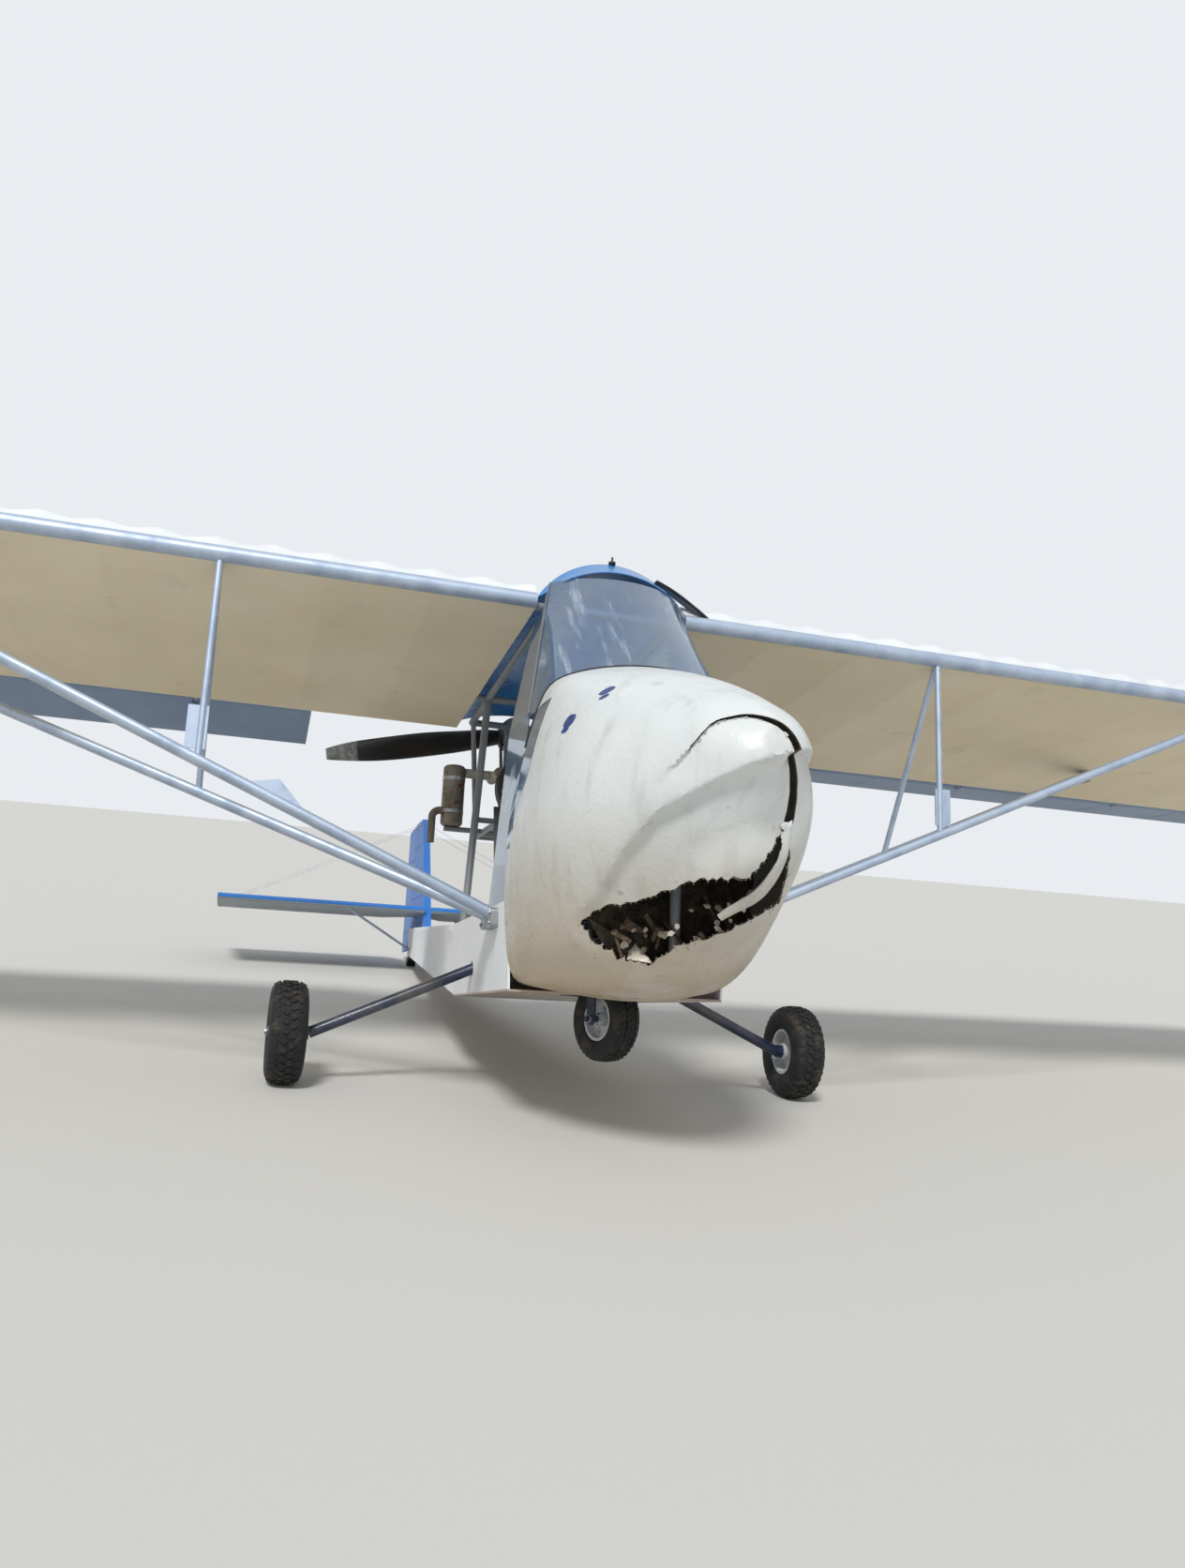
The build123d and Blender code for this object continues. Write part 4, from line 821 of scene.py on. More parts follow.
def noseCutters(tear):
    crack = [(x, z, wide * random.uniform(0.92, 1.08)) for x, z, wide in curveThrough(nose["crack"], 4)]
    middle, radius = nose["well"]
    well = [(radius * math.cos(a), middle + radius * math.sin(a)) for a in roundAngles(64)]
    return [
        slit("crackCutter", crack, -1.2, -1.75),
        prism("tearCutter", tear, -0.93, -1.75, lambda a, b, depth: Vector((a, depth, b))),
        prism("doorCutter", nose["doorEdge"], -0.6, 0.6, lambda a, b, depth: Vector((depth, a, b))),
        prism("wellCutter", well, 0.05, 0.3, lambda a, b, depth: Vector((a, b, depth))),
    ]


def buildNose():
    bm = noseSurface()
    tree = BVHTree.FromBMesh(bm)
    piece = newObject("noseShell", bm)
    for finishName in ("gelCoat", "tornGlassMat"):
        piece.data.materials.append(finishes[finishName])
    addModifier(
        piece, "SOLIDIFY", thickness=nose["wall"], offset=-1, material_offset=1, use_even_offset=False,
    )
    tear = jagged(nose["tear"], nose["jagPitch"], nose["jag"])
    cutters = noseCutters(tear)
    for n, cutter in enumerate(cutters):
        # the crack's cutter crosses itself where the crack turns
        addModifier(
            piece, "BOOLEAN", operation="DIFFERENCE", solver="EXACT", object=cutter, use_self=n == 0,
        )
    cut = evaluatedMesh(piece)
    piece.modifiers.clear()
    piece.data = cut
    for cutter in cutters:
        bpy.data.objects.remove(cutter)
    cut.transform(levelPlace)
    smoothMesh(cut, 38)
    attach(piece, "airframe")
    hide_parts("nose_cone")
    return tree, tear


noseTree, tearEdge = buildNose()
print("nose shell made")


def onNose(x, z, lift=0.0):
    # the place on the nose straight behind a point seen from ahead, and the way it faces, in level axes
    place, normal, _, _ = noseTree.ray_cast(Vector((x, -3, z)), Vector((0, 1, 0)))
    return place + normal * lift, normal


# Broken edge of the tear: splinters of glass mat that point into the hole, some of them longer
splinter = {
    "reach": (0.002, 0.009), "longShare": 0.12, "longer": 2.2, "half": (0.0015, 0.004),
    "back": (0.001, 0.012), "foot": 0.004, "behind": 0.003, "thick": 0.0012, "onlyAhead": -0.7,
}


def buildSplinters():
    bm = bmesh.new()
    for n, (x, z) in enumerate(tearEdge):
        before, after = tearEdge[n - 1], tearEdge[(n + 1) % len(tearEdge)]
        run = Vector((after[0] - before[0], after[1] - before[1])).normalized()
        reach = random.uniform(*splinter["reach"])
        reach *= splinter["longer"] if random.random() < splinter["longShare"] else 1
        root, _ = onNose(x, z)
        if root.y > splinter["onlyAhead"]:
            continue
        inward = Vector((-run.y, 0, run.x))
        sideways = Vector((run.x, 0, run.y)) * random.uniform(*splinter["half"])
        back = Vector((0, random.uniform(*splinter["back"]), 0))
        base = root + Vector((0, splinter["behind"], 0)) - inward * splinter["foot"]
        tip = root + inward * reach + back + sideways * random.uniform(-2, 2)
        corners = [base - sideways, base + sideways, tip, base + Vector((0, splinter["thick"], 0))]
        made = [bm.verts.new(corner) for corner in corners]
        for ids in ((0, 1, 2), (1, 3, 2), (3, 0, 2), (0, 3, 1)):
            bm.faces.new([made[k] for k in ids])
    bmesh.ops.recalc_face_normals(bm, faces=bm.faces)
    bm.transform(levelPlace)
    makePiece(bm, "tearSplinters", "airframe", ["tornGlassMat"])


buildSplinters()

# Skin at the tear: a flap held at its lower edge and bent inwards, and a strip left standing
# between the tear and the crack's foot
flap = {
    "ends": ((-0.125, 0.232), (-0.070, 0.224)), "dropBack": 0.04, "long": 0.05, "taper": 0.55, "inset": 0.006,
    "wave": 0.004, "thick": 0.003,
}
(ax, az), (bx, bz) = flap["ends"]
rows = []
for n in range(9):
    share = n / 8
    row = []
    for k in range(13):
        x, z = ax + (bx - ax) * k / 12, az + (bz - az) * k / 12
        root, _ = onNose(x, z - flap["inset"])
        wide = 1 - flap["taper"] * share * abs(k / 6 - 1)
        wave = flap["wave"] * noise.noise(Vector((x, share, z)) * 30)
        back = flap["inset"] + flap["dropBack"] * share ** 1.6 + wave
        row.append(root + Vector(((x - (ax + bx) / 2) * (wide - 1), back, flap["long"] * share * wide)))
    rows.append(row)
makeSheet("tearFlaps", [rows], "gelCoat", flap["thick"], 50)

strip = {
    "line": (
        (0.156, 0.548, 0.016), (0.166, 0.500, 0.030), (0.160, 0.437, 0.036), (0.124, 0.380, 0.034),
        (0.066, 0.342, 0.026), (0.040, 0.322, 0.018),
    ),
    "steps": 6, "ragged": 0.22, "across": (0.86, -0.5), "sunk": 0.003, "curl": 0.006, "thick": 0.004,
}
rows = []
for n, (x, z, wide) in enumerate(curveThrough(strip["line"], strip["steps"])):
    row = []
    for k in range(9):
        share = k / 4 - 1
        across = share * wide / 2
        if abs(share) == 1:
            across *= 1 + strip["ragged"] * noise.noise(Vector((n * 0.7, k // 4, 4.0)))
        spot = x + across * strip["across"][0], z + across * strip["across"][1]
        row.append(onNose(*spot, -strip["sunk"] - strip["curl"] * share ** 2)[0])
    rows.append(row)
makeSheet("tearStrip", [rows], "gelCoat", strip["thick"], 50)


# Shards of skin that hang in the tear, along a line that rises to the left
shard = {
    "count": 26, "x": (-0.20, 0.15), "lineZ": 0.318, "lineRise": 0.26, "spread": (-0.05, 0.045),
    "behind": (0.015, 0.07), "lean": 0.9, "size": (0.006, 0.019), "long": (0.4, 1.3), "high": 0.6,
    "thick": 0.0022,
}


def buildShards():
    bm = bmesh.new()
    for n in range(shard["count"]):
        x = random.uniform(*shard["x"])
        z = shard["lineZ"] + shard["lineRise"] * x + random.uniform(*shard["spread"])
        root, _ = onNose(x, z)
        middle = root + Vector((0, random.uniform(*shard["behind"]), 0))
        turn = Matrix.Rotation(random.uniform(0, 6.28), 3, "Y")
        turn = turn @ Matrix.Rotation(random.uniform(-shard["lean"], shard["lean"]), 3, "Z")
        size = random.uniform(*shard["size"])
        corners = []
        for a in roundAngles(5):
            out = Vector((math.cos(a) * random.uniform(*shard["long"]), 0, math.sin(a) * shard["high"]))
            corners.append(middle + turn @ (size * out))
        behind = [corner + turn @ Vector((0, shard["thick"], 0)) for corner in corners]
        addLoft(bm, [corners, behind], lambda _: n % 2)
    bmesh.ops.recalc_face_normals(bm, faces=bm.faces)
    bm.transform(levelPlace)
    makePiece(bm, "tearShards", "airframe", ["tornGlassMat", "gelCoat"], 30)


buildShards()

# What shows through the tear: crushed foam core and splinters of a ply bulkhead
core = {
    "low": 0.215, "high": 0.30, "rows": 26, "columns": 40, "y": -1.045, "thick": 0.012,
    "half": 0.09, "flare": 0.14, "flareFrom": 0.19, "flareTo": 0.34, "wobble": 0.004,
    "dents": ((0.035, 9, 2.0), (0.012, 45, 5.0)),  # depth, number to the metre and seed
}
rows = []
for n in range(core["rows"]):
    z = core["low"] + core["high"] * n / (core["rows"] - 1)
    row = []
    for k in range(core["columns"]):
        half = core["half"] + core["flare"] * smoothStep(core["flareFrom"], core["flareTo"], z)
        x = (-1 + 2 * k / (core["columns"] - 1)) * half
        dent = 0.0
        for deep, fine, seed in core["dents"]:
            dent += deep * noise.noise(Vector((x * fine, z * fine, seed)))
        wobble = core["wobble"] * math.sin(n * 1.7), core["wobble"] * math.sin(k * 2.1)
        row.append(Vector((x + wobble[0], core["y"] + dent, z + wobble[1])))
    rows.append(row)
makeSheet("crushedCore", [rows], "crushedFoam", core["thick"], 60)

ply = {
    "count": 13, "x": (-0.17, 0.16), "lineZ": 0.325, "lineRise": 0.25, "spread": 0.035,
    "y": -1.10, "spreadY": 0.02, "long": (0.035, 0.095), "wide": (0.007, 0.018), "thick": 0.004,
    "edge": 0.0008, "lean": 0.8,
}
bm = bmesh.new()
for _ in range(ply["count"]):
    x = random.uniform(*ply["x"])
    z = ply["lineZ"] + ply["lineRise"] * x + random.uniform(-ply["spread"], ply["spread"])
    long, wide = random.uniform(*ply["long"]), random.uniform(*ply["wide"])
    lean, spin = random.uniform(-ply["lean"], ply["lean"]), random.uniform(0, math.pi)
    turn = Matrix.Rotation(spin, 4, "Y") @ Matrix.Rotation(lean, 4, "Z") @ Matrix.Rotation(lean * 0.7, 4, "X")
    place = Vector((x, ply["y"] + random.uniform(-ply["spreadY"], ply["spreadY"]), z))
    addBox(bm, place, (long, ply["thick"], wide), ply["edge"], turn)
bm.transform(levelPlace)
makePiece(bm, "splinteredPly", "airframe", ["rawPly"])

# Plain blue marks on the right of the nose: middle x and z, length, width and lean of each
marks = (
    (-0.232, 0.888, 0.038, 0.013, 0.6), (-0.243, 0.868, 0.022, 0.008, 0.6),
    (-0.304, 0.820, 0.038, 0.013, 1.15), (-0.314, 0.796, 0.020, 0.008, 1.15),
)
nets = []
for x, z, long, wide, lean in marks:
    rows = []
    for n in range(8):
        row = []
        for k in range(16):
            a, b = (k / 15 - 0.5) * long, (n / 7 - 0.5) * wide * (1 - 0.5 * abs(k / 7.5 - 1) ** 3)
            aside = a * math.cos(lean) - b * math.sin(lean)
            above = a * math.sin(lean) + b * math.cos(lean)
            row.append(onNose(x + aside, z + above, 0.0006)[0])
        rows.append(row)
    nets.append(rows)
makeSheet("noseMarks", nets, "markBlue")

# Screws along the cone's rim, over the crown and at the chines
screws = {
    "every": 6, "chine": (0.30, 0.40), "crownFrom": 0.95, "middle": (0, -0.665, 0.6), "from": 1.2,
    "radius": 0.006, "topRadius": 0.0035, "high": 0.003, "lift": 0.001,
}
bm = bmesh.new()
middle = Vector(screws["middle"])
for x, _, z in noseRing(nose["rows"][0])[::screws["every"]]:
    low, high = screws["chine"]
    if low <= z <= high or z >= screws["crownFrom"]:
        ray = Vector((x, 0, z - middle.z)).normalized()
        place, normal, _, _ = noseTree.ray_cast(middle + ray * screws["from"], -ray)
        if place:
            seat = place + normal * screws["lift"]
            addDrum(bm, seat, normal, screws["radius"], screws["high"], 16, topRadius=screws["topRadius"])
bm.transform(levelPlace)
makePiece(bm, "rimScrews", "airframe", ["bareAlloy"])
print("nose details made")

# Wing: fabric drawn over ribs, white above; below, a cream that is painted shade and sunlight glowing through
# the cloth; tapes over the ribs
wing = {
    "root": 0.252, "tip": 4.5, "y": -0.448, "z": 1.381, "incidence": 4.7, "chord": 1.337,
    "crestAt": 0.340, "crest": 0.112, "spar": 0.025, "edge": 0.008, "ribs": 26,
    "topSag": 0.0045, "lowSag": 0.006, "scallop": 0.016, "blunt": 0.024, "tape": 0.0012, "tapeHalf": 0.009,
    "tube": (0.025, 0.0254),  # middle and radius of the wrap round the spar tube
    "topFrom": (0.012, 0.021), "lowFrom": 0.029,  # where the skins leave the wrap
    "wrapFrom": -80.9, "wrapSweep": 202.7,
}
wing["tilt"] = math.radians(wing["incidence"])
ribPitch = (wing["tip"] - wing["root"]) / wing["ribs"]


def wingPlace(x, along, rise):
    # chord axes to level axes
    tilt = wing["tilt"]
    return Vector((
        x, wing["y"] + along * math.cos(tilt) + rise * math.sin(tilt),
        wing["z"] - along * math.sin(tilt) + rise * math.cos(tilt),
    ))


def wingTop(along):
    # height of the upper skin: an arc from the crest to the spar tube and one to the trailing edge
    if along < wing["crestAt"]:
        run, drop = wing["crestAt"] - wing["topFrom"][0], wing["crest"] - wing["topFrom"][1]
    else:
        run, drop = wing["chord"] - wing["crestAt"], wing["crest"] - wing["edge"]
    radius = (run * run + drop * drop) / (2 * drop)
    gap = min(abs(along - wing["crestAt"]), run)
    return wing["crest"] - radius + math.sqrt(radius * radius - gap * gap)


def wingLow(along):
    # height of the lower skin: a straight run from the spar tube to the trailing edge
    share = (along - wing["lowFrom"]) / (wing["chord"] - wing["lowFrom"])
    return -wing["spar"] + share * (wing["spar"] - wing["edge"])


wingTopAlongs = [wing["topFrom"][0], 0.02, 0.032, 0.048, 0.07, 0.1, 0.14, 0.19, 0.25, 0.32, 0.4]
wingTopAlongs += [0.4 + (wing["chord"] - 0.4) * n / 20 for n in range(1, 21)]
wingLowAlongs = [wing["chord"] - (wing["chord"] - 0.06) * n / 26 for n in range(27)]
wingLowAlongs += [0.045, wing["lowFrom"]]
wingWrap = [
    (wing["tube"][0] + wing["tube"][1] * math.cos(a), wing["tube"][1] * math.sin(a))
    for a in (math.radians(wing["wrapFrom"] + wing["wrapSweep"] * n / 12) for n in range(1, 12))
]


def bayPlace(place, ribs):
    # for a place counted in ribs: how deep the cloth dips in its bay, and 1 over a tape or 0 beside it
    bay = place / ribs % 1
    over = smoothStep(wing["tapeHalf"] * 0.8, wing["tapeHalf"] * 1.3, min(bay, 1 - bay) * ribPitch * ribs)
    return math.sin(math.pi * bay) ** 2, 1 - over


def wingLoop(x):
    # a section of the wing; behind the leading edge only every second rib holds the cloth
    place = (abs(x) - wing["root"]) / ribPitch
    dip, near = bayPlace(place, 1)
    mainDip, mainNear = bayPlace(place, 2)
    uneven = 0.75 + 0.4 * noise.noise(Vector((math.floor(place) * 3.7, 1, 1)))
    loop = []
    for along in wingTopAlongs:
        front = 1 - smoothStep(0.10, 0.26, along)
        lip = smoothStep(0.011, 0.03, along)
        ripple = 0.0016 * lip * noise.noise(Vector((x * 14, along * 9, 3.0)))
        deep = (mainDip if along > 0.25 else dip) * smoothStep(wing["chord"], 1.2, along) * (1 - front)
        sag = wing["scallop"] * dip * front * lip * uneven + wing["topSag"] * deep
        blunt = wing["blunt"] * smoothStep(0.012, 0.055, along) * (1 - smoothStep(0.12, 0.34, along))
        tape = wing["tape"] * (near * front + mainNear * (1 - front)) * lip
        loop.append((along, wingTop(along) + blunt - sag + ripple + tape))
    for along in wingLowAlongs:
        edge = smoothStep(0.03, 0.16, along) * smoothStep(wing["chord"], wing["chord"] - 0.1, along)
        ripple = 0.002 * noise.noise(Vector((x * 3 + along * 5, along * 2 - x, 8.0)))
        lift = wing["lowSag"] * mainDip + ripple - wing["tape"] * mainNear
        loop.append((along, wingLow(along) + edge * lift))
    return [wingPlace(x, along, rise) for along, rise in loop + wingWrap]


stations = []
for n in range(wing["ribs"] + 1):
    rib = wing["root"] + n * ribPitch
    for shift in (-0.0125, -0.009, 0.009, 0.0125):
        if wing["root"] <= rib + shift <= wing["tip"]:
            stations.append(rib + shift)
    if n < wing["ribs"]:
        stations += [rib + ribPitch * share for share in (0.2, 0.35, 0.5, 0.65, 0.8)]
stations = sorted({wing["root"], wing["tip"], *[round(s, 5) for s in stations]})
lowStart = len(wingTopAlongs) + 1
lowEnd = lowStart + len(wingLowAlongs)
for side, sign in (("left", 1), ("right", -1)):
    bm = bmesh.new()
    # faces of the lower skin take the cream, painted shade and glow of the same white cloth
    addLoft(bm, [wingLoop(sign * x) for x in stations], lambda n: int(lowStart <= n + 1 < lowEnd))
    bmesh.ops.recalc_face_normals(bm, faces=bm.faces)
    bm.transform(levelPlace)
    name = f"wingSkin{side.title()}"
    piece = makePiece(bm, name, "airframe", ["whiteSail", "shadeGlowSail"], 50)
    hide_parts(f"wing_{side}")
print("wing skins made")

# Wheels: tyres with a worn lug tread, bolts and valves on the rims. A profile is x and radius of half
# the section, from the bead up to the crown. A row of lugs is its count, x, foot and top radius,
# length, width, lean and shift.
tyres = {
    "steps": 96, "lugEdge": 0.0008, "shoulderFrom": 0.03, "shoulderTilt": 0.5,
    "mainProfile": (
        (0.0405, 0.0784), (0.046, 0.0786), (0.051, 0.083), (0.0552, 0.094), (0.0572, 0.108), (0.0575, 0.122),
        (0.0545, 0.136), (0.0475, 0.1465), (0.037, 0.1515), (0.022, 0.1538), (0.0, 0.1545),
    ),
    "mainLugs": (
        (34, 0.0115, 0.1525, 0.1598, 0.0155, 0.019, 0.45, 0.0),
        (34, 0.0385, 0.1455, 0.1532, 0.0150, 0.020, -0.25, 0.25),
    ),
    "noseProfile": (
        (0.030, 0.0626), (0.035, 0.0629), (0.0395, 0.067), (0.0428, 0.076), (0.0439, 0.087), (0.0432, 0.098),
        (0.0385, 0.1085), (0.0300, 0.1150), (0.0180, 0.1172), (0.0175, 0.1152), (0.0145, 0.1152),
        (0.0140, 0.1182), (0.0, 0.1186),
    ),
    "noseLugs": (
        (40, 0.0065, 0.1172, 0.1206, 0.0110, 0.011, 0.3, 0.0),
        (40, 0.0245, 0.1135, 0.1186, 0.0105, 0.012, -0.2, 0.25),
    ),
}
rims = {
    "bolts": 5, "valveFrom": 0.012, "valveTo": 0.034, "valveDrop": 0.006, "valveRadius": 0.0035,
    "capLong": 0.008, "capRadius": 0.0042,
    # name, body, CAD node, bolt circle, reach to search from, bolt radius, radius of the valve's place
    "pieces": (
        ("mainRimLeftBolts", "main_wheel_left", "main_rim_left", 0.0235, 0.07, 0.0035, 0.060),
        ("mainRimRightBolts", "main_wheel_right", "main_rim_right", 0.0235, 0.07, 0.0035, 0.060),
        ("noseRimBolts", "nose_wheel", "nose_rim", 0.0165, 0.06, 0.0024, 0.048),
    ),
}


def wheelPlace(wheel):
    # from a wheel's own axes, its axle along x, to where it stands
    joint = joints[f"{wheel}_spin"]
    turn = Vector((1, 0, 0)).rotation_difference(Vector(joint["axis"])).to_matrix().to_4x4()
    return Matrix.Translation(joint["pos_m"]) @ turn


def addLug(bm, angle, sign, row):
    _, x, foot, top, long, wide, lean, _ = row
    turn = Matrix.Rotation(angle, 4, "X") @ Matrix.Translation((sign * x, 0, (foot + top) / 2))
    turn = turn @ Matrix.Rotation(sign * lean, 4, "Z")
    tilt = tyres["shoulderTilt"] if x > tyres["shoulderFrom"] else 0.0
    place = turn @ Matrix.Rotation(sign * tilt, 4, "Y") @ Matrix.Diagonal((wide, long, top - foot, 1))
    lug = bmesh.ops.create_cube(bm, size=1, matrix=place)
    edges = list({e for v in lug["verts"] for e in v.link_edges})
    bmesh.ops.bevel(
        bm, geom=edges, offset=tyres["lugEdge"], segments=1, affect="EDGES", profile=0.5, material=-1,
    )


def buildTyre(name, wheel, replaced, profile, lugRows):
    bm = bmesh.new()
    points = [(x, 0, r) for x, r in profile] + [(-x, 0, r) for x, r in profile[::-1] if x]
    ring = [bm.verts.new(point) for point in points]
    edges = [bm.edges.new((a, b)) for a, b in zip(ring, ring[1:] + ring[:1])]
    bmesh.ops.spin(
        bm, geom=ring + edges, cent=(0, 0, 0), axis=(1, 0, 0), angle=2 * math.pi, steps=tyres["steps"],
        use_merge=True,
    )
    bmesh.ops.remove_doubles(bm, verts=bm.verts, dist=0.00002)
    bmesh.ops.recalc_face_normals(bm, faces=bm.faces)
    for row in lugRows:
        count, shift = row[0], row[-1]
        for n in range(count):
            for sign, start in ((1, shift), (-1, shift + 0.5)):
                addLug(bm, 2 * math.pi * (n + start) / count, sign, row)
    bm.transform(wheelPlace(wheel))
    piece = makePiece(bm, name, wheel, ["tyreRubber"], 42)
    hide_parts(replaced)


for side in ("left", "right"):
    wheel = f"main_wheel_{side}"
    buildTyre(f"mainTread{side.title()}", wheel, f"main_tyre_{side}", tyres["mainProfile"], tyres["mainLugs"])
buildTyre("noseTread", "nose_wheel", "nose_tyre", tyres["noseProfile"], tyres["noseLugs"])

for name, wheel, nodeName, circle, reach, radius, valve in rims["pieces"]:
    bm = bmesh.new()
    place = wheelPlace(wheel)
    tree = cadTree(nodeName)
    for side in (1, -1):
        out = place.to_3x3() @ Vector((side, 0, 0))
        for n in range(rims["bolts"]):
            angle = 2 * math.pi * (n + 0.5) / rims["bolts"]
            start = place @ Vector((side * reach, circle * math.cos(angle), circle * math.sin(angle)))
            addBoltOn(bm, tree, start, out, radius)
    stem = place @ Vector((rims["valveFrom"], 0, valve))
    top = place @ Vector((rims["valveTo"], 0, valve - rims["valveDrop"]))
    addTube(bm, [stem, stem.lerp(top, 0.6), top], rims["valveRadius"], 12, 1)
    addTube(bm, [top, top + (top - stem).normalized() * rims["capLong"]], rims["capRadius"], 12, 1)
    makePiece(bm, name, wheel, ["bareAlloy", "mouldedBlack"])
print("wheels made")

# Rear fuselage: fabric drawn over longerons, a stringer along each side's middle, and frames.
# Its ends are y, half widths at top and bottom, and z of the top and bottom.
fuselage = {
    "front": (0.3853, 0.300, 0.285, 0.400, 0.144), "back": (3.4, 0.024, 0.024, 0.600, 0.430),
    "frames": (0.3853, 0.72, 1.10, 1.50, 1.92, 2.36, 2.84, 3.4), "alongSteps": 9, "acrossSteps": 20,
    "sag": 0.030, "easeIn": 0.006, "ripple": 0.0012,
}


def fuselageRing(y):
    # corners between the two ends, each side hollowed between its longerons and frames
    first, last = fuselage["front"], fuselage["back"]
    share = (y - first[0]) / (last[0] - first[0])
    _, topHalf, lowHalf, high, low = [a + (b - a) * share for a, b in zip(first, last)]
    frames = fuselage["frames"]
    after = next((f for f in frames[1:] if y <= f + 1e-6), frames[-1])
    before = max(f for f in frames if f < after)
    dip = math.sin(math.pi * max(0.0, min(1.0, (y - before) / (after - before)))) ** 0.8
    ring = []
    corners = [(lowHalf, low), (topHalf, high), (-topHalf, high), (-lowHalf, low)]
    for n, (ax, az) in enumerate(corners):
        bx, bz = corners[(n + 1) % 4]
        run = Vector((bx - ax, bz - az))
        inward = Vector((-run.y, run.x)).normalized()
        for k in range(fuselage["acrossSteps"]):
            t = k / fuselage["acrossSteps"]
            hollow = math.sin(math.pi * t) * (0.75 + 0.25 * abs(math.cos(math.pi * t)))
            depth = fuselage["sag"] * run.length * dip * hollow
            depth += fuselage["easeIn"] * (smoothStep(0.05, 0.0, t) + smoothStep(0.95, 1.0, t))
            if k != fuselage["acrossSteps"] // 2:
                depth -= fuselage["ripple"] * noise.noise(Vector((y * 6, t * 5, n)))
            ring.append(Vector((ax + run.x * t + inward.x * depth, y, az + run.y * t + inward.y * depth)))
    return ring


steps = fuselage["alongSteps"]
bays = list(zip(fuselage["frames"], fuselage["frames"][1:]))
ys = sorted({round(a + (b - a) * k / steps, 5) for a, b in bays for k in range(steps + 1)})
bm = bmesh.new()
# the bottom side takes the beige belly sheet: painted shade and ground bounce on the white fabric
addLoft(bm, [fuselageRing(y) for y in ys], lambda n: int(n >= 3 * fuselage["acrossSteps"]))
bmesh.ops.recalc_face_normals(bm, faces=bm.faces)
bm.transform(levelPlace)
piece = makePiece(bm, "rearFabric", "airframe", ["whiteSail", "bellyShadeSheet"], 40)
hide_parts("rear_fuselage")

# Tapes over the ribs of the tail and the ailerons, each a strip that follows both faces.
# A section is its half thickness at the front and the back, and its chord.
tapes = {
    "width": 0.018, "thick": 0.0012, "lift": 0.0006,
    "droops": {"left": 4.7 - 3.0, "right": 4.7 + 18.0}, "aileronFrom": 0.88, "aileronPitch": 0.4356,
    "aileronSection": (0.0151, 0.0031, 0.235), "elevatorSection": (0.0141, 0.0031, 0.29),
    "elevatorRibs": (0.30, 0.52, 0.70, 1.02, 1.145), "sectionShares": (0.06, 0.3, 0.55, 0.8, 0.985),
    "stabilizerPlace": (2.843, 0.669), "stabilizerRibs": (0.06, 0.28, 0.50, 0.72, 0.94, 1.145),
    "stabilizerSection": ((0.0045, 0.0085), (0.012, 0.0145), (0.02, 0.017), (0.2, 0.017), (0.37, 0.017)),
    "rudderSection": (0.0141, 0.0031, 0.35), "rudderFrom": 3.442, "rudderShares": (0.06, 0.3, 0.6, 0.985),
    "rudderRibs": (0.60, 0.72, 0.90, 1.04, 1.215),
    "finSide": 0.0206, "finBack": 3.415,
    "finRibs": ((0.78, 2.956), (0.94, 3.036), (1.10, 3.116), (1.225, 3.179)),
}


def makeTapes(name, body, finishName, across, lines):
    bm = bmesh.new()
    for line in lines:
        addRibbon(bm, line, across, tapes["width"], tapes["thick"])
    makePiece(bm, name, body, [finishName])


def sectionLines(place, xs, section):
    # lines along both faces of a tapered surface, placed by x, distance from its hinge and rise
    front, back, chord = section
    return [
        [
            place(x, chord * t, face * (front + (back - front) * t + tapes["lift"]))
            for t in tapes["sectionShares"]
        ] for x in xs for face in (1, -1)
    ]


def hingePlace(jointName, droop):
    origin = Vector(joints[jointName]["pos_m"])
    angle = math.radians(droop)
    back = levelWay(0, math.cos(angle), -math.sin(angle))
    rise = levelWay(0, math.sin(angle), math.cos(angle))
    return lambda x, along, up: Vector((x, origin.y, origin.z)) + back * along + rise * up


for side, sign in (("left", 1), ("right", -1)):
    place = hingePlace(f"aileron_{side}_hinge", tapes["droops"][side])
    xs = [sign * (tapes["aileronFrom"] + n * tapes["aileronPitch"]) for n in range(9)]
    makeTapes(
        f"aileronTapes{side.title()}", f"aileron_{side}", "greyBlueSail",
        levelWay(1, 0, 0), sectionLines(place, xs, tapes["aileronSection"]),
    )
xs = [sign * x for sign in (1, -1) for x in tapes["elevatorRibs"]]
makeTapes(
    "elevatorTapes", "elevator", "tailSailShadedBelow", levelWay(1, 0, 0),
    sectionLines(hingePlace("elevator_hinge", 0.0), xs, tapes["elevatorSection"]),
)
frontY, middleZ = tapes["stabilizerPlace"]
makeTapes("stabilizerTapes", "airframe", "tailSailShadedBelow", levelWay(1, 0, 0), [
    [
        level(sign * x, frontY + along, middleZ + face * (rise + tapes["lift"]))
        for along, rise in tapes["stabilizerSection"]
    ] for sign in (1, -1) for x in tapes["stabilizerRibs"] for face in (1, -1)
])
front, back, chord = tapes["rudderSection"]
makeTapes("rudderTapes", "rudder", "blueSail", levelWay(0, 0, 1), [
    [
        level(face * (front + (back - front) * t + tapes["lift"]), tapes["rudderFrom"] + chord * t, z)
        for t in tapes["rudderShares"]
    ] for z in tapes["rudderRibs"] for face in (1, -1)
])
makeTapes("finTapes", "airframe", "blueSail", levelWay(0, 0, 1), [
    [level(face * tapes["finSide"], y, z), level(face * tapes["finSide"], tapes["finBack"], z)]
    for z, y in tapes["finRibs"] for face in (1, -1)
])
print("fabric made")

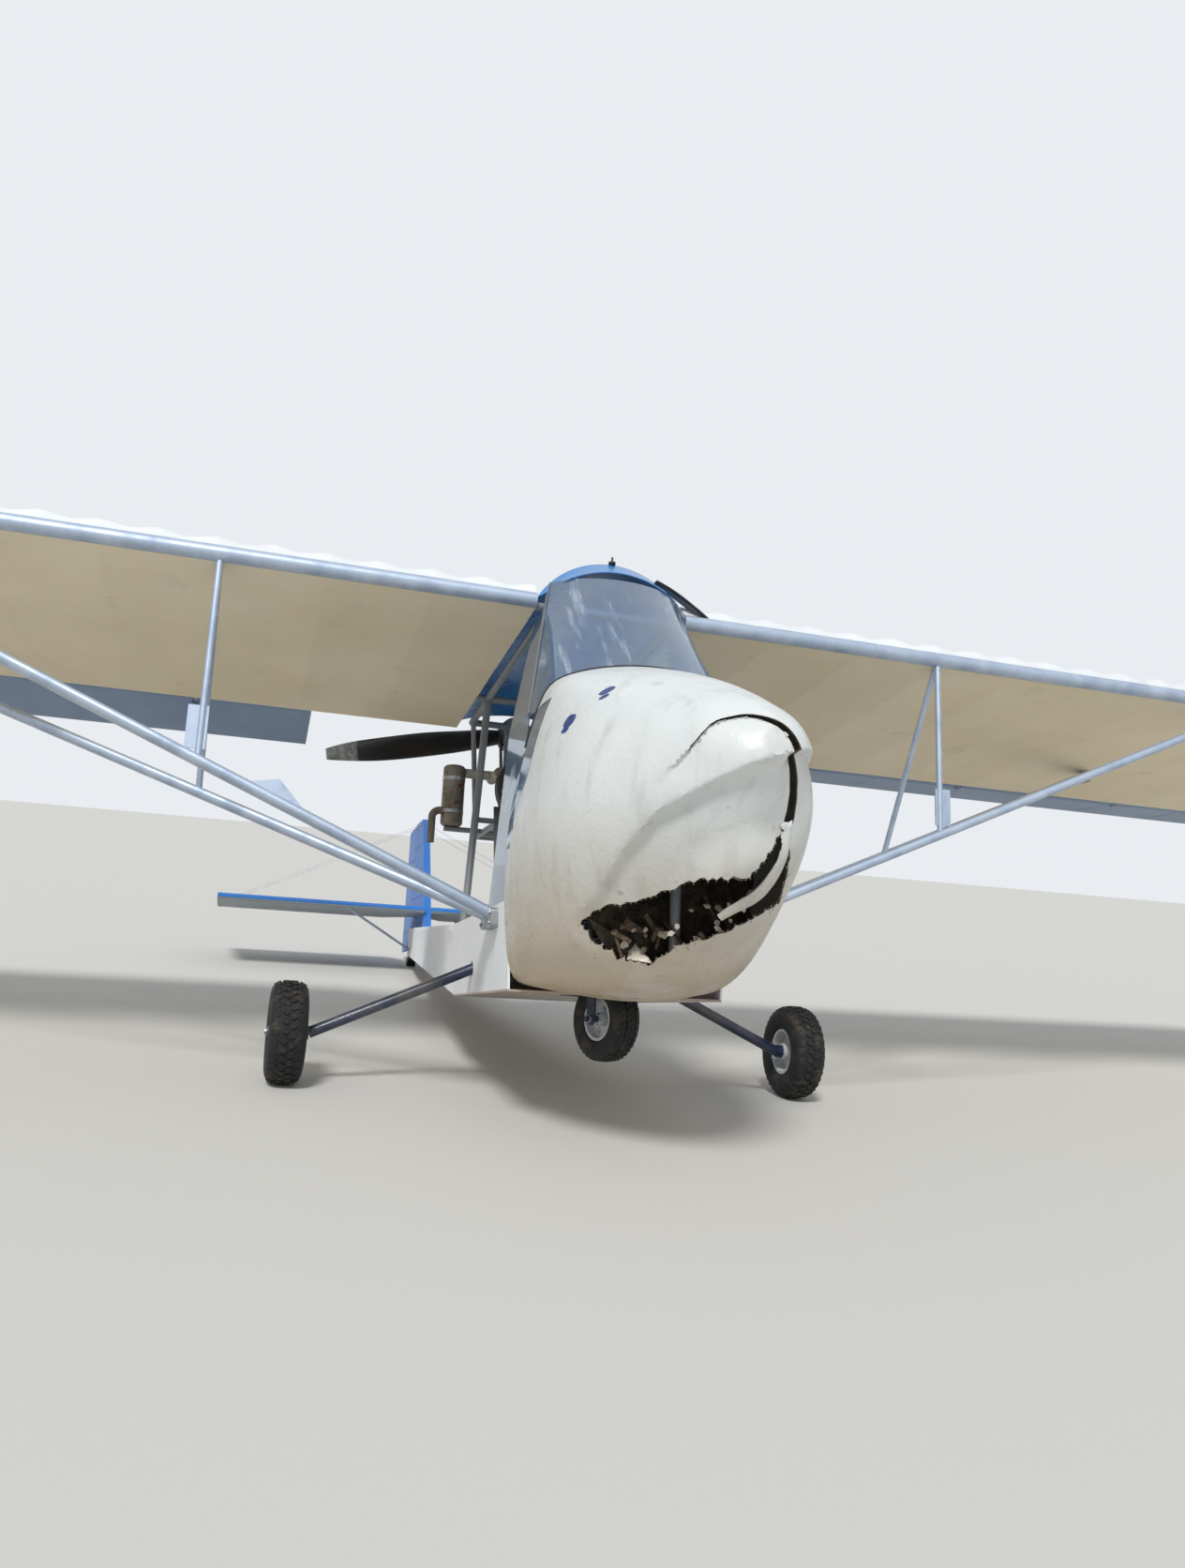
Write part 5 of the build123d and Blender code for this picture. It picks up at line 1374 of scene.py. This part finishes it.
# Seat: a board with two padded cushions in a woven cover. A pad is its front, back and lift.
seat = {
    "board": ((0, -0.330, 0.275), (0, 0.085, 0.215), (0, 0.262, 0.825)),
    "boardWide": 0.410, "boardThick": 0.008, "boardLift": 0.0045, "boardEdge": 0.002,
    "pads": (
        ("seatPad", (0, -0.315, 0.283), (0, 0.055, 0.230), 0.040),
        ("backPad", (0, 0.082, 0.262), (0, 0.244, 0.815), 0.036),
    ),
    "padHalf": 0.193, "padCuts": 11, "voxel": 0.006, "pressure": 4, "frames": 20, "swell": 0.010,
    "grooves": (0.27, 0.5, 0.73), "grooveDepth": 0.007, "seamX": 0.135, "seamDepth": 0.006,
    "stitch": 0.006, "wrinkle": 0.0022, "underside": 0.002, "quiltFrom": 0.012,
}


def seatAxes(front, back):
    # along and square to a run of the seat's side view
    run = (back - front).normalized()
    return run, Vector((0, -run.z, run.y))


def padShape(front, back, lift):
    # a rounded slab between two places of the seat's side view, its top crowned
    run, rise = seatAxes(front, back)
    half, long, middle = seat["padHalf"], (back - front).length, front.lerp(back, 0.5)
    bm = bmesh.new()
    bmesh.ops.create_cube(bm, size=1)
    bmesh.ops.subdivide_edges(bm, edges=bm.edges, cuts=seat["padCuts"], use_grid_fill=True)
    for vert in bm.verts:
        x, y, z = vert.co * 2
        pull = 1 - 0.05 * (y * y) * (1 - abs(x)) - 0.03 * abs(z)
        wide = 1 - 0.045 * (x * x) * (1 - 0.6 * abs(y)) - 0.03 * abs(z)
        corner = 1 - 0.06 * (abs(x) ** 6) * (abs(y) ** 6)
        crown = z * (1 - 0.35 * max(abs(x), abs(y)) ** 8) + 1
        across = Vector((half * x * pull * corner, 0, 0))
        vert.co = middle + across + run * (long / 2 * y * wide * corner) + rise * (lift / 2 * crown)
    return bm


def inflatePad(pad):
    # cloth swollen by a light pressure, each point's move capped
    before = [vert.co.copy() for vert in pad.data.vertices]
    cloth = addModifier(pad, "CLOTH")
    cloth.settings.use_pressure = True
    cloth.settings.uniform_pressure_force = seat["pressure"]
    cloth.settings.quality = 5
    cloth.settings.effector_weights.gravity = 0
    cloth.point_cache.frame_start, cloth.point_cache.frame_end = 1, seat["frames"]
    for n in range(1, seat["frames"] + 1):
        bpy.context.scene.frame_set(n)
    swollen = evaluatedMesh(pad)
    pad.modifiers.clear()
    bpy.context.scene.frame_set(1)
    pad.data = swollen
    for vert, start in zip(swollen.vertices, before):
        move = vert.co - start
        if move.length > seat["swell"]:
            vert.co = start + move * (seat["swell"] / move.length)


def quiltPad(pad, front, back):
    # stitched grooves across, a seam along each side and fine wrinkles between; a flat underside
    run, rise = seatAxes(front, back)
    long = (back - front).length
    for vert in pad.data.vertices:
        along, above = (vert.co - front).dot(run), (vert.co - front).dot(rise)
        x = abs(vert.co.x)
        if above > seat["quiltFrom"]:
            groove = min(abs(along - long * share) for share in seat["grooves"])
            sink = seat["grooveDepth"] * math.exp(-(groove / seat["stitch"]) ** 2) * smoothStep(0.15, 0.12, x)
            sink += seat["seamDepth"] * math.exp(-((x - seat["seamX"]) / seat["stitch"]) ** 2)
            wrinkle = seat["wrinkle"] * noise.noise(Vector((vert.co.x * 18, along * 30, 1.0)))
            vert.co -= rise * (sink + wrinkle)
        elif above < seat["underside"]:
            vert.co -= rise * (above - seat["underside"])


for name, front, back, lift in seat["pads"]:
    front, back = level(*front), level(*back)
    pad = newObject(name, padShape(front, back, lift))
    addModifier(pad, "REMESH", mode="VOXEL", voxel_size=seat["voxel"])
    remeshed = evaluatedMesh(pad)
    pad.modifiers.clear()
    pad.data = remeshed
    inflatePad(pad)
    quiltPad(pad, front, back)
    pad.data.materials.clear()
    pad.data.materials.append(finishes["seatCloth"])
    pad.data.shade_smooth()
    addModifier(pad, "SUBSURF", levels=1, render_levels=1)
    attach(pad, "airframe")

board = bmesh.new()
corners = [level(*corner) for corner in seat["board"]]
for front, back in zip(corners, corners[1:]):
    run, rise = seatAxes(front, back)
    turn = Matrix((Vector((1, 0, 0)), run, rise)).transposed().to_4x4()
    size = seat["boardWide"], (back - front).length, seat["boardThick"]
    addBox(board, front.lerp(back, 0.5) + rise * seat["boardLift"], size, seat["boardEdge"], turn)
piece = makePiece(board, "seatBoard", "airframe", ["mouldedBlack"])
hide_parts("seat")
print("seat made")

# Engine: head nuts and spark plugs, leads, coil, cooling fan grille, clamps, springs, belts.
# A layer of a stack is rise, radius, top radius, length, sides, finish and eased edge.
engine = {
    "cylinders": (0.622, 0.738), "headTop": 1.1245, "studs": 0.043,
    "nut": ((0, 0.0065, 0.0065, 0.013, 6, 0, 0.0006), (0.011, 0.0035, 0.0035, 0.012, 12, 0, 0.0)),
    "plug": (
        (0.044, 0.0105, 0.0105, 0.009, 6, 0, 0.0008), (0.0585, 0.0068, 0.005, 0.020, 16, 1, 0.0),
        (0.0745, 0.0095, 0.008, 0.022, 20, 2, 0.0012),
    ),
    "boot": ((0, 1.203), (0.012, 1.207), (0.026, 1.207)), "bootRadius": 0.006,
    "coil": (0.0945, 0.680, 0.945), "coilSize": (0.030, 0.075, 0.040), "coilEdge": 0.004,
    "towers": (0.668, 0.692), "tower": (0.0870, 0.966, 0.006, 0.014),
    "inletClamp": (0.088, 1.050, 0.0188, 0.009),  # x, z, radius and width
    "mufflerClamps": (-0.282, 0.688, (0.868, 1.0), 0.0448, 0.014),
    "springs": (0.598, 0.646, 0.714, 0.762), "springFrom": (-0.0585, 1.043), "springTo": (-0.094, 1.039),
    "springTurns": 7, "springRadius": 0.0042, "springWire": 0.0008,
}
leftWay, backWay, upWay = levelWay(1, 0, 0), levelWay(0, 1, 0), levelWay(0, 0, 1)

head = bmesh.new()
for y in engine["cylinders"]:
    for x in (-engine["studs"], engine["studs"]):
        for shift in (-engine["studs"], engine["studs"]):
            addStack(head, level(x, y + shift, engine["headTop"]), upWay, engine["nut"])
    addStack(head, level(0, y, engine["headTop"]), upWay, engine["plug"])
    addTube(head, [level(x, y, z) for x, z in engine["boot"]], engine["bootRadius"], 12, 2)
makePiece(head, "headHardware", "airframe", ["bareAlloy", "ceramic", "mouldedBlack"])

for n, (y, drop) in enumerate(zip(engine["cylinders"], (0.0, 0.02))):
    # each lead leaves its plug cap, hangs out over the side and goes into the coil on the crankcase
    knots = [
        (0.026, y, 1.207), (0.046, y, 1.205), (0.068, y - 0.004, 1.188), (0.080, y - 0.006, 1.150),
        (0.086, y - 0.004, 1.080 - drop), (0.088, (y + engine["coil"][1]) / 2, 0.995),
        (0.086, engine["towers"][n], 0.962),
    ]
    makeCord(f"plugLead{n + 1}", "mouldedBlack", knots, 8, 0.007, 10)

coil = bmesh.new()
addBox(coil, level(*engine["coil"]), engine["coilSize"], engine["coilEdge"])
x, z, radius, long = engine["tower"]
for y in engine["towers"]:
    addDrum(coil, level(x, y, z), upWay, radius, long, 16)
makePiece(coil, "ignitionCoil", "airframe", ["mouldedBlack"])

grille = {
    "middleZ": 0.960, "ringsY": 0.5010, "rings": (0.050, 0.063, 0.076, 0.089, 0.102),
    "ringBar": (0.003, 0.0022),
    "spokes": 9, "spokesY": 0.5035, "spokeEnds": (0.040, 0.1035), "spokeRadius": 0.0022,
    "hubY": 0.4850,
    "hub": ((0.0075, 0.052, 0.052, 0.012, 40, 1, 0.002), (0, 0.020, 0.020, 0.006, 32, 1, 0.0015)),
    "bolts": 6, "boltsY": 0.4977, "boltCircle": 0.123, "boltRadius": 0.005, "boltTurn": 0.2,
}


def onFan(radius, angle, y):
    # a place round the cooling fan's axis
    return level(radius * math.cos(angle), y, grille["middleZ"] + radius * math.sin(angle))


bm = bmesh.new()
for radius in grille["rings"]:
    line = [onFan(radius, angle, grille["ringsY"]) for angle in roundAngles(48)]
    addRibbon(bm, line, backWay, *grille["ringBar"], closed=True)
for angle in roundAngles(grille["spokes"]):
    ends = [onFan(radius, angle, grille["spokesY"]) for radius in grille["spokeEnds"]]
    addTube(bm, ends, grille["spokeRadius"], 8)
addStack(bm, level(0, grille["hubY"], grille["middleZ"]), backWay, grille["hub"])
for angle in roundAngles(grille["bolts"]):
    spot = onFan(grille["boltCircle"], angle + grille["boltTurn"], grille["boltsY"])
    addBolt(bm, spot, -backWay, grille["boltRadius"])
makePiece(bm, "fanGrille", "airframe", ["bareAlloy", "mouldedBlack"])

clamps = bmesh.new()
x, z, radius, width = engine["inletClamp"]
for y in engine["cylinders"]:
    addBand(clamps, level(x, y, z), leftWay, radius, width)
x, y, heights, radius, width = engine["mufflerClamps"]
for z in heights:
    addBand(clamps, level(x, y, z), upWay, radius, width)
makePiece(clamps, "hoseClamps", "airframe", ["bareAlloy"])


def springLine(start, stop, turns, radius):
    run = stop - start
    side = run.orthogonal().normalized()
    other = run.normalized().cross(side)
    return [
        start + run * (k / (turns * 10)) + (side * math.cos(a) + other * math.sin(a)) * radius
        for k, a in ((k, 2 * math.pi * k / 10) for k in range(turns * 10 + 1))
    ]


springs = bmesh.new()
for y in engine["springs"]:
    start, stop = [level(x, y, z) for x, z in (engine["springFrom"], engine["springTo"])]
    line = springLine(start, stop, engine["springTurns"], engine["springRadius"])
    addTube(springs, line, engine["springWire"], 6)
makePiece(springs, "exhaustSprings", "airframe", ["rustySteel"])

belts = {
    "topZ": 1.268, "lowZ": 0.935, "topRadius": 0.0625, "lowRadius": 0.0405, "count": 4, "firstY": 0.8695,
    "pitch": 0.0088, "width": 0.0074, "thick": 0.006,
}


def beltLoop():
    # x and z of the belt: round the driven pulley, then round the crank pulley
    topRadius, lowRadius = belts["topRadius"], belts["lowRadius"]
    lean = math.acos((topRadius - lowRadius) / (belts["topZ"] - belts["lowZ"]))
    over = [math.pi / 2 + (math.pi - lean) * (k / 14 - 1) for k in range(29)]
    under = [math.pi * 1.5 + lean * (k / 8 - 1) for k in range(17)]
    return [(topRadius * math.cos(a), belts["topZ"] + topRadius * math.sin(a)) for a in over] + [
        (lowRadius * math.cos(a), belts["lowZ"] + lowRadius * math.sin(a)) for a in under]


bm = bmesh.new()
for n in range(belts["count"]):
    line = [level(x, belts["firstY"] + n * belts["pitch"], z) for x, z in beltLoop()]
    addRibbon(bm, line, backWay, belts["width"], belts["thick"], closed=True)
makePiece(bm, "driveBelts", "airframe", ["beltRubber"])

hub = {"bolts": 6, "circle": 0.042, "z": 1.268, "from": 1.1, "turn": 0.3, "boltRadius": 0.0065}
bm = bmesh.new()
tree = cadTree("propeller_hub")
for angle in roundAngles(hub["bolts"]):
    angle += hub["turn"]
    start = level(hub["circle"] * math.cos(angle), hub["from"], hub["z"] + hub["circle"] * math.sin(angle))
    addBoltOn(bm, tree, start, backWay, hub["boltRadius"])
makePiece(bm, "hubBolts", "propeller", ["bareAlloy"])

# Fuel tank: a knurled cap, two retaining bands and the hose up to the carburettor
tank = {
    "cap": (0.11, 0.292), "capZ": 0.4915, "capRadius": 0.033, "capLong": 0.022, "capEdge": 0.003,
    "knurls": 20, "knurlZ": 0.4905, "knurlRadius": 0.0025, "knurlLong": 0.014,
    "bands": (-0.12, 0.03), "bandWidth": 0.022, "bandThick": 0.0012,
    "bandLine": (
        (0.2345, 0.165), (0.2345, 0.455), (0.2405, 0.472), (0.257, 0.4812), (0.327, 0.4812), (0.3435, 0.472),
        (0.3495, 0.455), (0.3495, 0.165),
    ),
    "hose": (
        (-0.02, 0.292, 0.4803), (-0.02, 0.294, 0.52), (0.02, 0.36, 0.66), (0.07, 0.46, 0.83),
        (0.115, 0.54, 0.97), (0.150, 0.566, 1.030), (0.152, 0.5862, 1.050),
    ),
}
bm = bmesh.new()
capX, capY = tank["cap"]
cap = level(capX, capY, tank["capZ"])
addDrum(bm, cap, upWay, tank["capRadius"], tank["capLong"], 40, edge=tank["capEdge"])
for angle in roundAngles(tank["knurls"]):
    x, y = capX + tank["capRadius"] * math.cos(angle), capY + tank["capRadius"] * math.sin(angle)
    addDrum(bm, level(x, y, tank["knurlZ"]), upWay, tank["knurlRadius"], tank["knurlLong"], 8)
for x in tank["bands"]:
    line = [level(x, y, z) for y, z in tank["bandLine"]]
    addRibbon(bm, line, leftWay, tank["bandWidth"], tank["bandThick"], 1)
makePiece(bm, "tankFittings", "airframe", ["mouldedBlack", "bareAlloy"])
makeCord("fuelHose", "fuelHose", tank["hose"], 10, 0.008, 12)
print("engine made")

# Instruments: housings ahead of the panel, dials with plain ticks on the pilot's side.
# A tick or needle is two radii, width, thickness and how far behind the dial's middle it stands.
dials = {
    "places": ((-0.15, 0.6), (-0.05, 2.4), (0.05, -0.5), (0.15, 1.5)),  # x and the needle's angle
    "y": -0.620, "z": 0.925, "can": (-0.026, 0.0335, 0.058, 0.002), "bezel": (0.0052, 0.0365, 0.004, 0.005),
    "tick": (0.025, 0.031, 0.0016, 0.0004, 0.0033), "mainTick": (0.025, 0.031, 0.0028, 0.0004, 0.0033),
    "needle": (-0.006, 0.024, 0.0016, 0.0005, 0.0042), "pin": (0.0042, 0.003, 0.0012),
}


def addPointer(bm, middle, angle, shape):
    first, last, width, thick, lift = shape
    way, back = levelWay(math.cos(angle), 0, math.sin(angle)), backWay
    ends = [middle + back * lift + way * reach for reach in (first, last)]
    addRibbon(bm, ends, way.cross(back), width, thick, 2)


bm = bmesh.new()
for x, needle in dials["places"]:
    middle, back = level(x, dials["y"], dials["z"]), backWay
    lift, radius, long, edge = dials["can"]
    addDrum(bm, middle + back * lift, back, radius, long, 36, edge=edge)
    lift, radius, width, thick = dials["bezel"]
    line = [middle + back * lift + levelWay(math.cos(a), 0, math.sin(a)) * radius for a in roundAngles(40)]
    addRibbon(bm, line, back, width, thick, 1, True)
    for k, angle in enumerate(roundAngles(12)):
        addPointer(bm, middle, angle, dials["tick"] if k % 3 else dials["mainTick"])
    addPointer(bm, middle, needle, dials["needle"])
    lift, radius, long = dials["pin"]
    addDrum(bm, middle + back * lift, back, radius, long, 16, 1)
makePiece(bm, "instruments", "airframe", ["mouldedBlack", "bareAlloy", "dialPaint"])

# Rubber rings round the stick's grip
grip = {
    "low": (0, -0.415, 0.470), "high": (0, -0.430, 0.600), "rings": 7, "first": 0.12, "pitch": 0.115,
    "radius": 0.0172, "width": 0.005, "edge": 0.001,
}
bm = bmesh.new()
low, high = level(*grip["low"]), level(*grip["high"])
for n in range(grip["rings"]):
    spot = low.lerp(high, grip["first"] + grip["pitch"] * n)
    addDrum(bm, spot, high - low, grip["radius"], grip["width"], edge=grip["edge"])
makePiece(bm, "gripRings", "airframe", ["tyreRubber"])

# Windscreen: riveted edge strips, and a rubber seal where it meets the cone. The arcs are x and y of
# the screen's foot and head; the seal lies where the lines between them meet the nose.
screen = {
    "low": (0.3068, -0.6385, 0.945), "high": (0.2175, -0.4395, 1.428), "facing": (1, -0.15, 0),
    "stripWide": 0.020, "stripThick": 0.0015, "stripLift": 0.0012, "rivets": 12, "rivetLift": 0.0024,
    "footArc": ((0.306, -0.640), (0, -1.010), (-0.306, -0.640)), "footZ": 0.93,
    "headArc": ((0.216, -0.440), (0, -0.545), (-0.216, -0.440)), "headZ": 1.44,
    "steps": 60, "trim": 3, "sealRadius": 0.0045,
}
bm = bmesh.new()
for sign in (1, -1):
    low, high = [level(sign * x, y, z) for x, y, z in (screen["low"], screen["high"])]
    x, y, z = screen["facing"]
    outward = levelWay(sign * x, y, z).normalized()
    line = [low.lerp(high, k / 10) + outward * screen["stripLift"] for k in range(11)]
    addRibbon(bm, line, outward.cross(high - low), screen["stripWide"], screen["stripThick"])
    for k in range(screen["rivets"]):
        spot = low.lerp(high, (k + 0.5) / screen["rivets"]) + outward * screen["rivetLift"]
        addDrum(bm, spot, outward, 0.0032, 0.0016, 12, topRadius=0.002)
makePiece(bm, "screenStrips", "airframe", ["greyTube"])

footArc, headArc = [
    arcThrough(*screen[arc], screen["steps"]) + [screen[arc][-1]] for arc in ("footArc", "headArc")
]
seam = []
for foot, top in zip(footArc, headArc):
    foot, top = Vector((*foot, screen["footZ"])), Vector((*top, screen["headZ"]))
    hit = noseTree.ray_cast(top, foot - top)[0]
    if hit:
        seam.append(levelPlace @ hit)
seal = bmesh.new()
addTube(seal, seam[screen["trim"]:-screen["trim"]], screen["sealRadius"], 10)
makePiece(seal, "screenSeal", "airframe", ["beltRubber"])

# The edge between roof and left wing, bridged by a strip behind a rubber beading
root = {
    "line": ((0.143, -0.447, 1.497), (0.212, -0.443, 1.470), (0.282, -0.437, 1.432), (0.338, -0.430, 1.398)),
    "steps": 8, "behind": (0, 0.022, 0.002), "width": 0.046, "thick": 0.0014, "beading": 0.005,
}
line = [level(*spot) for spot in curveThrough(root["line"], root["steps"])]
bridge = bmesh.new()
addRibbon(bridge, [p + levelWay(*root["behind"]) for p in line], backWay, root["width"], root["thick"])
makePiece(bridge, "rootBridge", "airframe", ["greyTube"])
beading = bmesh.new()
addTube(beading, line, root["beading"], 10)
makePiece(beading, "rootEdge", "airframe", ["beltRubber"])

# Loose sheet gusset on the right front strut
gusset = {
    "corners": ((-1.075, -0.444, 0.702), (-0.985, -0.447, 0.717), (-0.905, -0.450, 0.628)), "half": 0.0007,
}
bm = bmesh.new()
addLoft(bm, [
    [level(x, y + side, z) for x, y, z in gusset["corners"]] for side in (-gusset["half"], gusset["half"])
])
bmesh.ops.recalc_face_normals(bm, faces=bm.faces)
makePiece(bm, "strutGusset", "airframe", ["strutAlloy"])

# Mast: its foot and a short stub
mast = {
    "foot": (-0.006, -0.430, 1.541), "footRadius": 0.012, "footHigh": 0.010, "footEdge": 0.002,
    "stub": ((-0.006, -0.430, 1.545), (-0.006, -0.432, 1.562)), "stubRadius": 0.0032,
}
bm = bmesh.new()
addDrum(bm, level(*mast["foot"]), upWay, mast["footRadius"], mast["footHigh"], edge=mast["footEdge"])
addTube(bm, [level(*end) for end in mast["stub"]], mast["stubRadius"])
makePiece(bm, "mast", "airframe", ["mouldedBlack"])
print("cabin made")

# Fittings: strut ends, foot bolts, axle nuts, fork nuts, tail wires and horns
fittings = {
    "footY": (-0.487, -0.365), "footZ": (0.344, 0.374), "footFrom": 0.6, "footBolt": 0.0055,
    "strutX": 2.583, "strutRise": -0.040, "strutShares": (0.06, 0.70), "plate": (0.006, 0.060, 0.046),
    "plateEdge": 0.002, "pinDrop": 0.006, "pinRadius": 0.005, "pinLong": 0.070,
    "axleEnd": 0.936, "axleBolt": 0.010,
    "forkFrom": 0.3, "forkNutIn": 0.012, "forkNut": (0.0125, 0.007), "forkNutEdge": 0.0008,
}
bm = bmesh.new()
for side, sign in (("left", 1), ("right", -1)):
    out = levelWay(sign, 0, 0)
    tree = cadTree(f"strut_foot_{side}")
    for y in fittings["footY"]:
        for z in fittings["footZ"]:
            addBoltOn(bm, tree, level(sign * fittings["footFrom"], y, z), out, fittings["footBolt"])
    for share in fittings["strutShares"]:
        spot = wingPlace(sign * fittings["strutX"], share * wing["chord"], fittings["strutRise"])
        addBox(bm, levelPlace @ spot, fittings["plate"], fittings["plateEdge"])
        pin = levelPlace @ (spot - Vector((0, 0, fittings["pinDrop"])))
        addDrum(bm, pin, backWay, fittings["pinRadius"], fittings["pinLong"], 12)
    addBolt(bm, levelPlace @ Vector((sign * fittings["axleEnd"], 0, 0)), out, fittings["axleBolt"])
makePiece(bm, "strutFittings", "airframe", ["bareAlloy"])

bm = bmesh.new()
tree = cadTree("nose_fork")
place = wheelPlace("nose_wheel")
for side in (1, -1):
    way = place.to_3x3() @ Vector((side, 0, 0))
    spot = tree.ray_cast(place.translation + way * fittings["forkFrom"], -way)[0]
    if spot:
        middle = spot - way * fittings["forkNutIn"]
        addDrum(bm, middle, way, *fittings["forkNut"], 6, edge=fittings["forkNutEdge"])
makePiece(bm, "forkNuts", "nose_fork", ["bareAlloy"])

# Tail wires from the fin to the stabilizer, each with a sleeve at both ends and a foot washer
wires = {
    "ends": (((0.0205, 3.19, 1.215), (1.06, 3.02, 0.6875)), ((0.0205, 3.36, 1.215), (1.06, 3.20, 0.6875))),
    "radius": 0.0012, "sleeveLong": 0.035, "sleeveRadius": 0.003, "washer": (0.010, 0.003),
}
bm = bmesh.new()
for sign in (1, -1):
    for ends in wires["ends"]:
        top, foot = [level(sign * x, y, z) for x, y, z in ends]
        sleeve = (foot - top).normalized() * wires["sleeveLong"]
        addTube(bm, [top, foot], wires["radius"], 8)
        addTube(bm, [top, top + sleeve], wires["sleeveRadius"], 10)
        addTube(bm, [foot, foot - sleeve], wires["sleeveRadius"], 10)
        addDrum(bm, foot, upWay, *wires["washer"], 20)
makePiece(bm, "tailWires", "airframe", ["bareAlloy"])

horns = (
    ("elevatorHorn", "elevator", (0.24, 3.288, 0.632), (0.003, 0.034, 0.046)),
    ("rudderHorn", "rudder", (0.040, 3.448, 0.66), (0.055, 0.030, 0.003)),
)
for name, body, middle, size in horns:
    bm = bmesh.new()
    addBox(bm, level(*middle), size, 0.001)
    makePiece(bm, name, body, ["bareAlloy"])
print("fittings made")

# Floor, light and camera
studio = {
    "floorSize": 400.0, "floorColour": "CFCDC8", "worldColour": "E9EDF1", "worldStrength": 0.6,
    "sunTurn": (34.0, -28.0, 10.0), "sunStrength": 2.3, "sunSoftness": 12.0,
}
floorMesh = bmesh.new()
bmesh.ops.create_grid(floorMesh, x_segments=1, y_segments=1, size=studio["floorSize"] / 2)
floor = newObject("floor", floorMesh)
floorFinish, _, floorShader, _ = newFinish("floorPaper", roughness=0.9)
floorShader.inputs["Base Color"].default_value = hexColour(studio["floorColour"])
floor.data.materials.append(floorFinish)

world = bpy.data.worlds.new("studio")
bpy.context.scene.world = world
world.use_nodes = True
sky = world.node_tree.nodes["Background"]
sky.inputs["Color"].default_value = hexColour(studio["worldColour"])
# full strength where the camera sees the sky, straight, mirrored or through a sheet
rays = addNode(world.node_tree, "ShaderNodeLightPath")
seen = addNode(
    world.node_tree, "ShaderNodeMath", {"operation": "MAXIMUM"},
    {0: rays.outputs["Is Camera Ray"], 1: rays.outputs["Is Glossy Ray"]},
)
seenThrough = addNode(
    world.node_tree, "ShaderNodeMath", {"operation": "MAXIMUM"},
    {0: seen.outputs[0], 1: rays.outputs["Is Transmission Ray"]},
)
skyLevel = addNode(
    world.node_tree, "ShaderNodeMapRange", {"To Min": studio["worldStrength"], "To Max": 1.0},
    {"Value": seenThrough.outputs[0]},
)
world.node_tree.links.new(skyLevel.outputs[0], sky.inputs["Strength"])

sunData = bpy.data.lights.new("softSun", "SUN")
sunData.energy = studio["sunStrength"]
sunData.angle = math.radians(studio["sunSoftness"])
sun = bpy.data.objects.new("softSun", sunData)
sun.rotation_euler = [math.radians(a) for a in studio["sunTurn"]]
bpy.context.scene.collection.objects.link(sun)

camera = {
    "place": (-1.0818, -5.0869, 0.8211), "turnLeft": -16.42, "lookUp": 3.063, "roll": 5.073,
    "focalPixels": 1256.0, "frameHigh": 1672.0, "sensor": 36.0,
}
turnLeft, lookUp, roll = [math.radians(camera[key]) for key in ("turnLeft", "lookUp", "roll")]
ahead = Vector((
    -math.sin(turnLeft) * math.cos(lookUp), math.cos(turnLeft) * math.cos(lookUp), math.sin(lookUp),
))
right = Vector((math.cos(turnLeft), math.sin(turnLeft), 0))
up = right.cross(ahead)
rightRolled = right * math.cos(roll) + up * math.sin(roll)
upRolled = up * math.cos(roll) - right * math.sin(roll)
cameraData = bpy.data.cameras.new("camera")
cameraData.sensor_width = camera["sensor"]
cameraData.lens = camera["focalPixels"] / camera["frameHigh"] * camera["sensor"]
cameraObject = bpy.data.objects.new("camera", cameraData)
cameraObject.matrix_world = Matrix.Translation(camera["place"]) @ Matrix(
    (rightRolled, upRolled, -ahead)
).transposed().to_4x4()
bpy.context.scene.collection.objects.link(cameraObject)
bpy.context.scene.camera = cameraObject
bpy.context.scene.view_settings.view_transform = "Standard"
print("studio ready")
